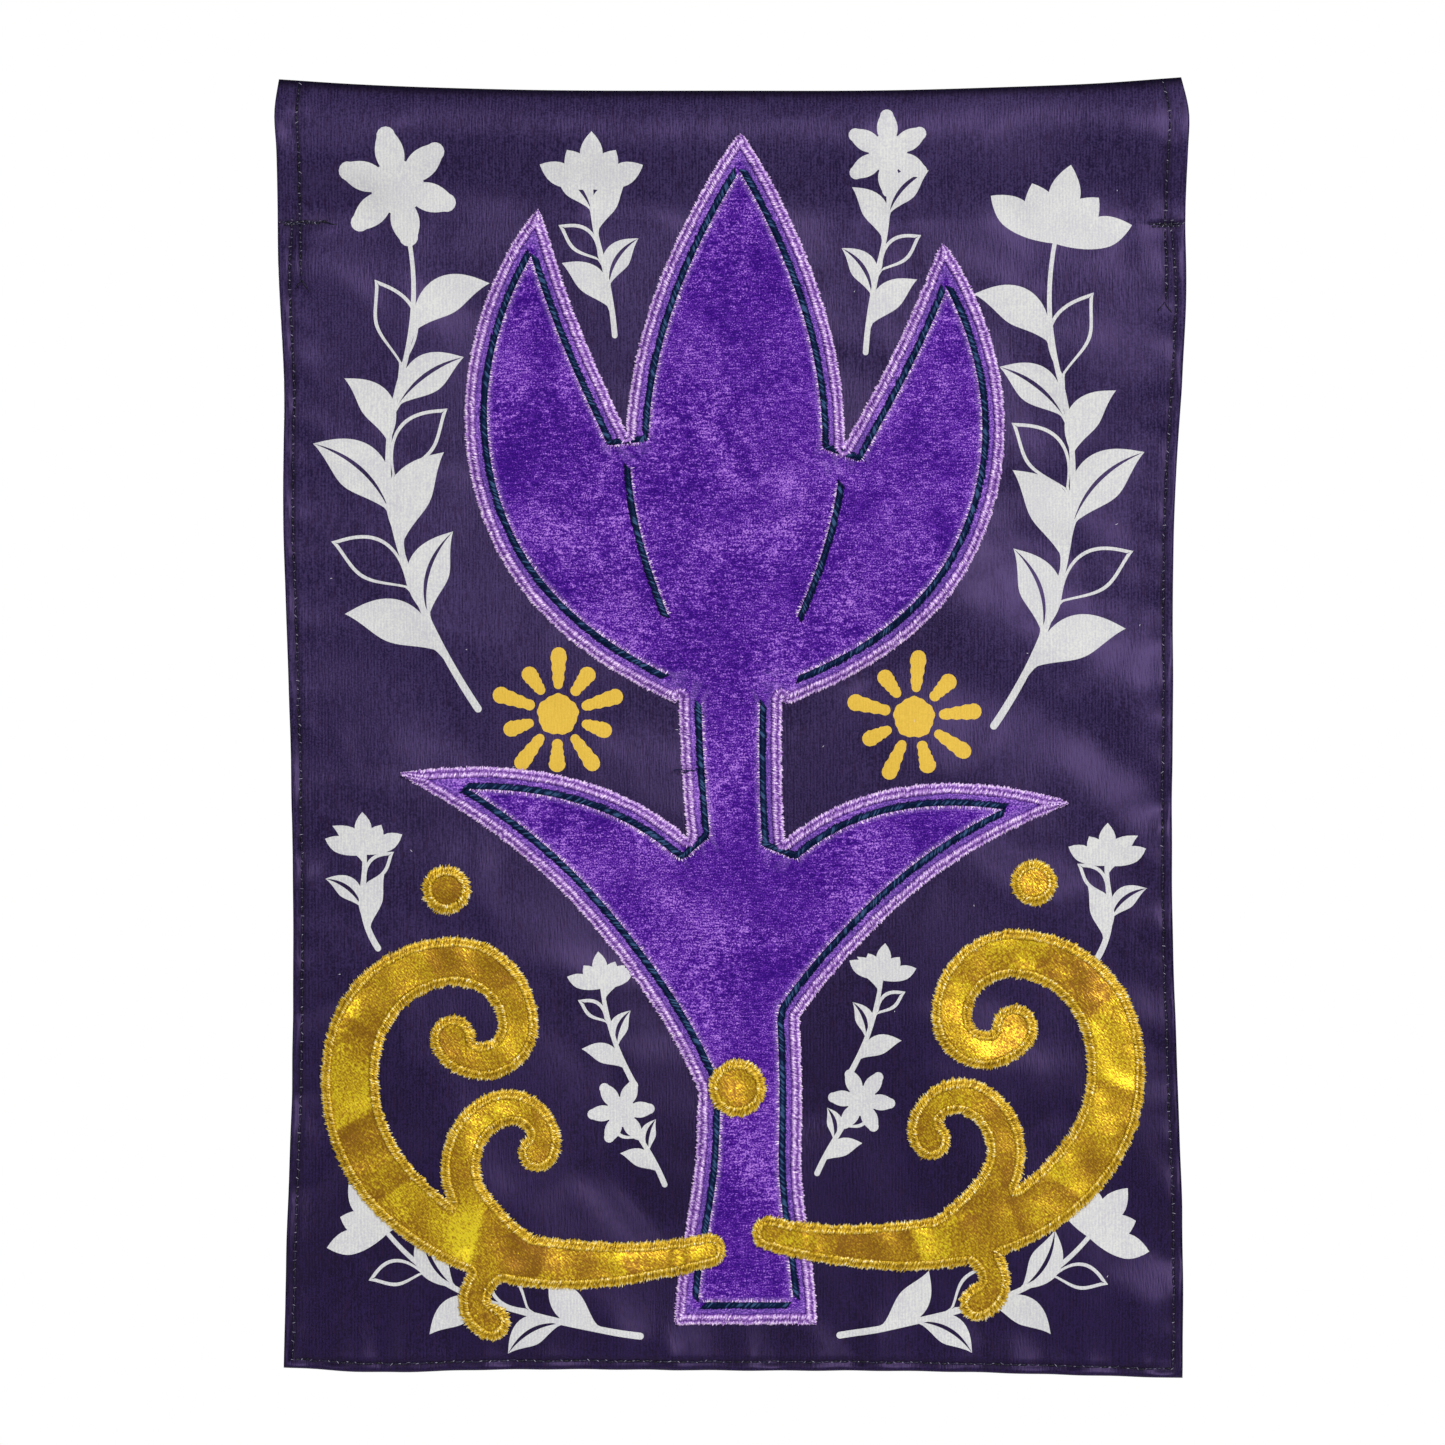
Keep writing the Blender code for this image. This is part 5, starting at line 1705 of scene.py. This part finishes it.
def seam_stitches(dark, pale):
    """Lock stitches along every seam on both faces: dark thread, with a pale knot between stitches."""
    chance = np.random.default_rng(SEAM_SEED)
    stitches = []
    knots = []
    for seam in SEAMS:
        start, end = seam_ends(seam)
        count = max(2, int(round(np.linalg.norm(end - start) / seam.pitch)))
        for k in range(count):
            share = (k + np.array(STITCH_PLACES)) / count
            stitches.append(start + np.outer(share, end - start) + chance.normal(0, STITCH_STRAY, 2))
            knots.append(start + (end - start) * k / count + chance.normal(0, KNOT_STRAY, 2))
    count = len(stitches)
    front, back = on_skins(np.array(stitches), STITCH_ARCH)
    widths = STITCH_WIDTH * chance.uniform(*SEWING_THREADS, count)
    look = (widths, widths * 0.6, 5, edge_taper(len(STITCH_ARCH), 0.5))
    mirrored = np.array([1.0, -1.0, 1.0])
    front_points, faces = strands(front, *look)
    back_points, back_faces = strands(back * mirrored, *look)
    faces += [[corner + len(front_points) for corner in face[::-1]] for face in back_faces]
    points = np.concatenate([front_points, back_points * mirrored])
    shade = np.tile(np.repeat(chance.uniform(0, 1, count), len(front_points) // count), 2)
    seams = piece("seam_thread", points, faces, [dark], {"shade": shade})

    turn = chance.uniform(*KNOT_TURNS, count)
    length = KNOT_LENGTH * chance.uniform(*KNOT_LENGTHS, count)
    paths, _ = on_skins(short_lines(np.array(knots), turn, length, KNOT_PLACES), KNOT_ARCH)
    shade = chance.uniform(0, 1, count)
    taper = edge_taper(len(KNOT_ARCH), 0.5)
    bumps = sewn("seam_knots", paths, KNOT_WIDTH, KNOT_HEIGHT, 5, taper, pale, shade)
    return [seams, bumps]


def fringe(name, lines, rise_at, material, seed):
    """Short pale ends of thread that lie out of the rope stitches, to the left of each line."""
    chance = np.random.default_rng(seed)
    flat = []
    for line in lines:
        places, along = evenly_spaced(line, END_PITCH, False, ROPE_WAY_REACH)
        left = left_of(along)
        lean = chance.normal(0, END_LEAN_SCATTER, len(places))[:, None]
        way = left * np.cos(lean) + along * np.sin(lean)
        length = END_LENGTH * chance.uniform(*END_LENGTHS, len(places))[:, None]
        near = places + left * END_ROOT
        flat.append(np.stack([near, near + way * length * 0.5, near + way * length], axis=1))
    paths = laid(np.concatenate(flat), rise_at, END_ARCH)
    widths = END_THREAD * chance.uniform(*END_THREADS, len(paths))
    shade = chance.uniform(*END_SHADES, len(paths))
    return sewn(name, paths, widths, widths * 0.5, 3, END_TAPER, material, shade)


def loose_threads(name, threads, rise_at, material):
    """Thread ends that lie loose on the flag."""
    points = []
    faces = []
    for loose in threads:
        width = loose.width
        runs = (Run(loose.length0, loose.turn0, width), Run(loose.length1, loose.turn1, width))
        line = stroke_line(Start(loose.x, loose.z, loose.heading, width), runs, LOOSE_STEP)
        lift = LOOSE_ARCH * np.sin(math.pi * np.linspace(0, 1, len(line))) + LOOSE_CLEARANCE
        path = laid(line[None, :, :2], rise_at, lift)
        own_points, own_faces = strands(path, width, width * 0.6, 4, edge_taper(len(line), 0.6))
        faces += [[corner + len(points) for corner in face] for face in own_faces]
        points.extend(own_points)
    return piece(name, points, faces, [material], {"shade": np.full(len(points), LOOSE_SHADE)})


def lint(material):
    """A few specks of white lint, as cloth picks them up."""
    chance = np.random.default_rng(LINT_SEED)
    x = chance.uniform(*LINT_ACROSS, LINT_COUNT)
    z = chance.uniform(*LINT_DOWN, LINT_COUNT)
    length = chance.uniform(*LINT_LENGTH, LINT_COUNT)
    turn = chance.uniform(0, math.pi, LINT_COUNT)
    flat = short_lines(np.column_stack([x, z]), turn, length, np.linspace(-0.5, 0.5, 4))
    paths = laid(flat, no_rise, LOOSE_CLEARANCE)
    shade = np.ones(LINT_COUNT)
    return sewn(
        "lint_specks", paths, LINT_WIDTH, LINT_HEIGHT, 3, edge_taper(4), material, shade
    )


def declare_cut_out(outline):
    """Measures the width, length and area of a cut-out, and keeps none of them."""
    width, length = outline.max(axis=0) - outline.min(axis=0)
    area = abs(signed_area(outline))


def edging_rise(t, full):
    """Height of an edging's foot across its width, from the cloth up on to the cut-out."""
    return EDGING_CLEARANCE + full * smooth_step(t * EDGING_CLIMB)


def petal_rope_lines(tulip):
    """Lines along both sides of the middle petal, where they lie well inside the tulip."""
    lines = []
    for line in sides_of(blade_line(PETALS[0], petal_profile))[:2]:
        inside = distance_inside(line[:, 0], line[:, 1], tulip)
        lines.append(line[(inside > PETAL_ROPE_INSET) & (line[:, 1] > PETAL_ROPE_LOWEST)])
    left, right = lines
    return [left[::-1], right]


def velvet_applique(tulip, velvet, lavender, navy):
    """The velvet tulip, and the sewing on it: its edging, the rope stitch and loose ends."""

    def parted(x, z, inside):
        rims = (part.strength * np.exp(-(((inside - part.inset) / part.reach) ** 2)) for part in PARTINGS)
        return {"parted": np.clip(sum(rims), 0, 1)}

    def height(x, z, inside):
        return velvet_rise(inside) + crumpled(x, z, VELVET_CRUMPLES) * smooth_step(inside / CRUMPLE_FREE_EDGE)

    def edge_rise(x, z, t):
        return edging_rise(t, EDGING_OVER_VELVET)

    def on_velvet(x, z):
        return velvet_rise(distance_inside(x, z, tulip))

    def over_edging(x, z):
        return STRAY_RISE + 0 * x

    name, slot = "velvet_tulip_cutout", "purple_velvet"
    made = cut_out_sheet(name, tulip, VELVET_STEP, VELVET_INSETS, height, parted, velvet)
    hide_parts("velvet_tulip")
    sewing = edging(
        "lavender_edging", tulip, LAVENDER_EDGING, edge_rise, lavender, VELVET_EDGING_SEED
    )
    lines = runs_inside(tulip, ROPE_INSET) + petal_rope_lines(tulip)
    sewing.append(rope_stitches("navy_rope_stitch", lines, on_velvet, navy, ROPE_SEED))
    sewing.append(fringe("rope_thread_ends", lines, on_velvet, lavender, ENDS_SEED))
    sewing.append(loose_threads("stray_threads", STRAY_THREADS, over_edging, navy))
    return made, sewing


def lame_appliques(tulip, lame, gold):
    """The scrolls and the berries, each with the edging over its raw edge."""
    creases = [line for scroll in SCROLLS for line in crease_lines(scroll)]

    # Painted light and shade of the creases and crumples, carried to the lame's base colour.
    def painted_crease_light(x, z, inside):
        light, _ = creased(x, z, creases)
        crinkle = LAME_LIGHT + crumpled(x, z, LAME_SHADING) + CREASE_LIGHT * light
        return {"crinkle": np.clip(crinkle, 0, 1)}

    def height(x, z, inside):
        _, bulge = creased(x, z, creases)
        crinkle = crumpled(x, z, LAME_CRUMPLES) + CREASE_BULGE * bulge
        rise = LAME_RISE * smooth_step(0.4 + inside / LAME_SLOPE)
        return carrier_rise(x, z, tulip) + rise + crinkle * smooth_step(inside / CRUMPLE_FREE_EDGE)

    def edge_rise(x, z, t):
        return carrier_rise(x, z, tulip) + edging_rise(t, EDGING_OVER_LAME)

    outlines = [(scroll.node, joined_outline(scroll_outlines(scroll))) for scroll in SCROLLS]
    outlines += [(node, berry_outline(berry)) for node, berry in BERRIES]
    for number, (node, outline) in enumerate(outlines):
        outline = turned_left(outline)
        made = cut_out_sheet(
            f"{node}_cutout", outline, LAME_STEP, LAME_INSETS, height, painted_crease_light, lame
        )
        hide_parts(node)
        seed = LAME_EDGING_SEED + number
        band = edging(f"{node}_edging", outline, GOLD_EDGING, edge_rise, gold, seed)
        declare_cut_out(outline)


def white_world():
    """A world that is plain white to the camera and a weak grey light to the flag."""
    world = bpy.data.worlds.new("white_studio")
    world.use_nodes = True
    nodes = Nodes(world.node_tree)
    backdrop = nodes.tree.nodes["Background"]
    backdrop.inputs["Color"].default_value = (1.0, 1.0, 1.0, 1.0)
    seen = nodes.node("ShaderNodeLightPath", output="Is Camera Ray")
    strength = nodes.node("ShaderNodeMix", None, {"Factor": seen, "A": AMBIENT, "B": 1.0}, "Result")
    nodes.tree.links.new(strength.link, backdrop.inputs["Strength"])
    return world


def studio():
    """Pale floor well below the flag, soft lights, and a camera level with the flag's middle."""
    scene = bpy.context.scene
    rim = [(*(FLOOR_RADIUS * way_at(turn)), FLOOR_HEIGHT) for turn in full_turn(64)]
    mesh = bpy.data.meshes.new("floor")
    mesh.from_pydata(rim, [], [list(range(len(rim)))])
    finish = Finish("pale_floor", {"Roughness": 0.9, "Base Color": (0.86, 0.86, 0.87, 1.0)})
    mesh.materials.append(finish.material)
    floor = bpy.data.objects.new("floor", mesh)
    scene.collection.objects.link(floor)

    scene.view_settings.view_transform = "Standard"
    scene.world = white_world()
    target = Vector((0.0, 0.0, PICTURE_CENTRE[1]))
    for lamp in LAMPS:
        data = bpy.data.lights.new(lamp.name, "AREA")
        data.size = lamp.size
        data.energy = lamp.power
        light = bpy.data.objects.new(lamp.name, data)
        light.location = lamp.place
        light.rotation_euler = (target - Vector(lamp.place)).to_track_quat("-Z", "Y").to_euler()
        scene.collection.objects.link(light)

    data = bpy.data.cameras.new("photo_camera")
    data.sensor_width = SENSOR
    data.lens = SENSOR * CAMERA_DISTANCE / PICTURE_SIDE
    data.clip_end = CAMERA_SIGHT
    camera = bpy.data.objects.new("photo_camera", data)
    camera.location = (PICTURE_CENTRE[0], -CAMERA_DISTANCE, PICTURE_CENTRE[1])
    camera.rotation_euler = (math.pi / 2, 0.0, 0.0)
    scene.collection.objects.link(camera)
    scene.camera = camera


def main():
    cloth = purple_cloth()
    white = printed_ink("white_ink_in_the_weave", WHITE_INK)
    yellow = printed_ink("yellow_ink_in_the_weave", YELLOW_INK)
    velvet = purple_velvet()
    lame = gold_lame()
    threads = {name: thread(name, look) for name, look in THREADS.items()}
    dark = threads["dark_seam_thread"]

    white_shapes = [shape for sprig in SPRIGS for shape in sprig_shapes(*sprig)]
    yellow_shapes = [shape for sun in SUNS for shape in sun_shapes(sun)]
    cloth_piece = hung_cloth([cloth, white, yellow], [white_shapes, yellow_shapes])
    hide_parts("flag_cloth")
    on_cloth = seam_stitches(dark, threads["pale_seam_thread"])
    on_cloth.append(lint(threads["white_lint"]))
    on_cloth.append(loose_threads("seam_thread_tails", THREAD_TAILS, no_rise, dark))

    tulip = turned_left(joined_outline(tulip_outlines()))
    lavender = threads["lavender_satin_thread"]
    velvet_piece, on_velvet = velvet_applique(tulip, velvet, lavender, threads["navy_thread"])
    lame_appliques(tulip, lame, threads["gold_metallic_thread"])
    declare_cut_out(tulip)
    studio()


main()
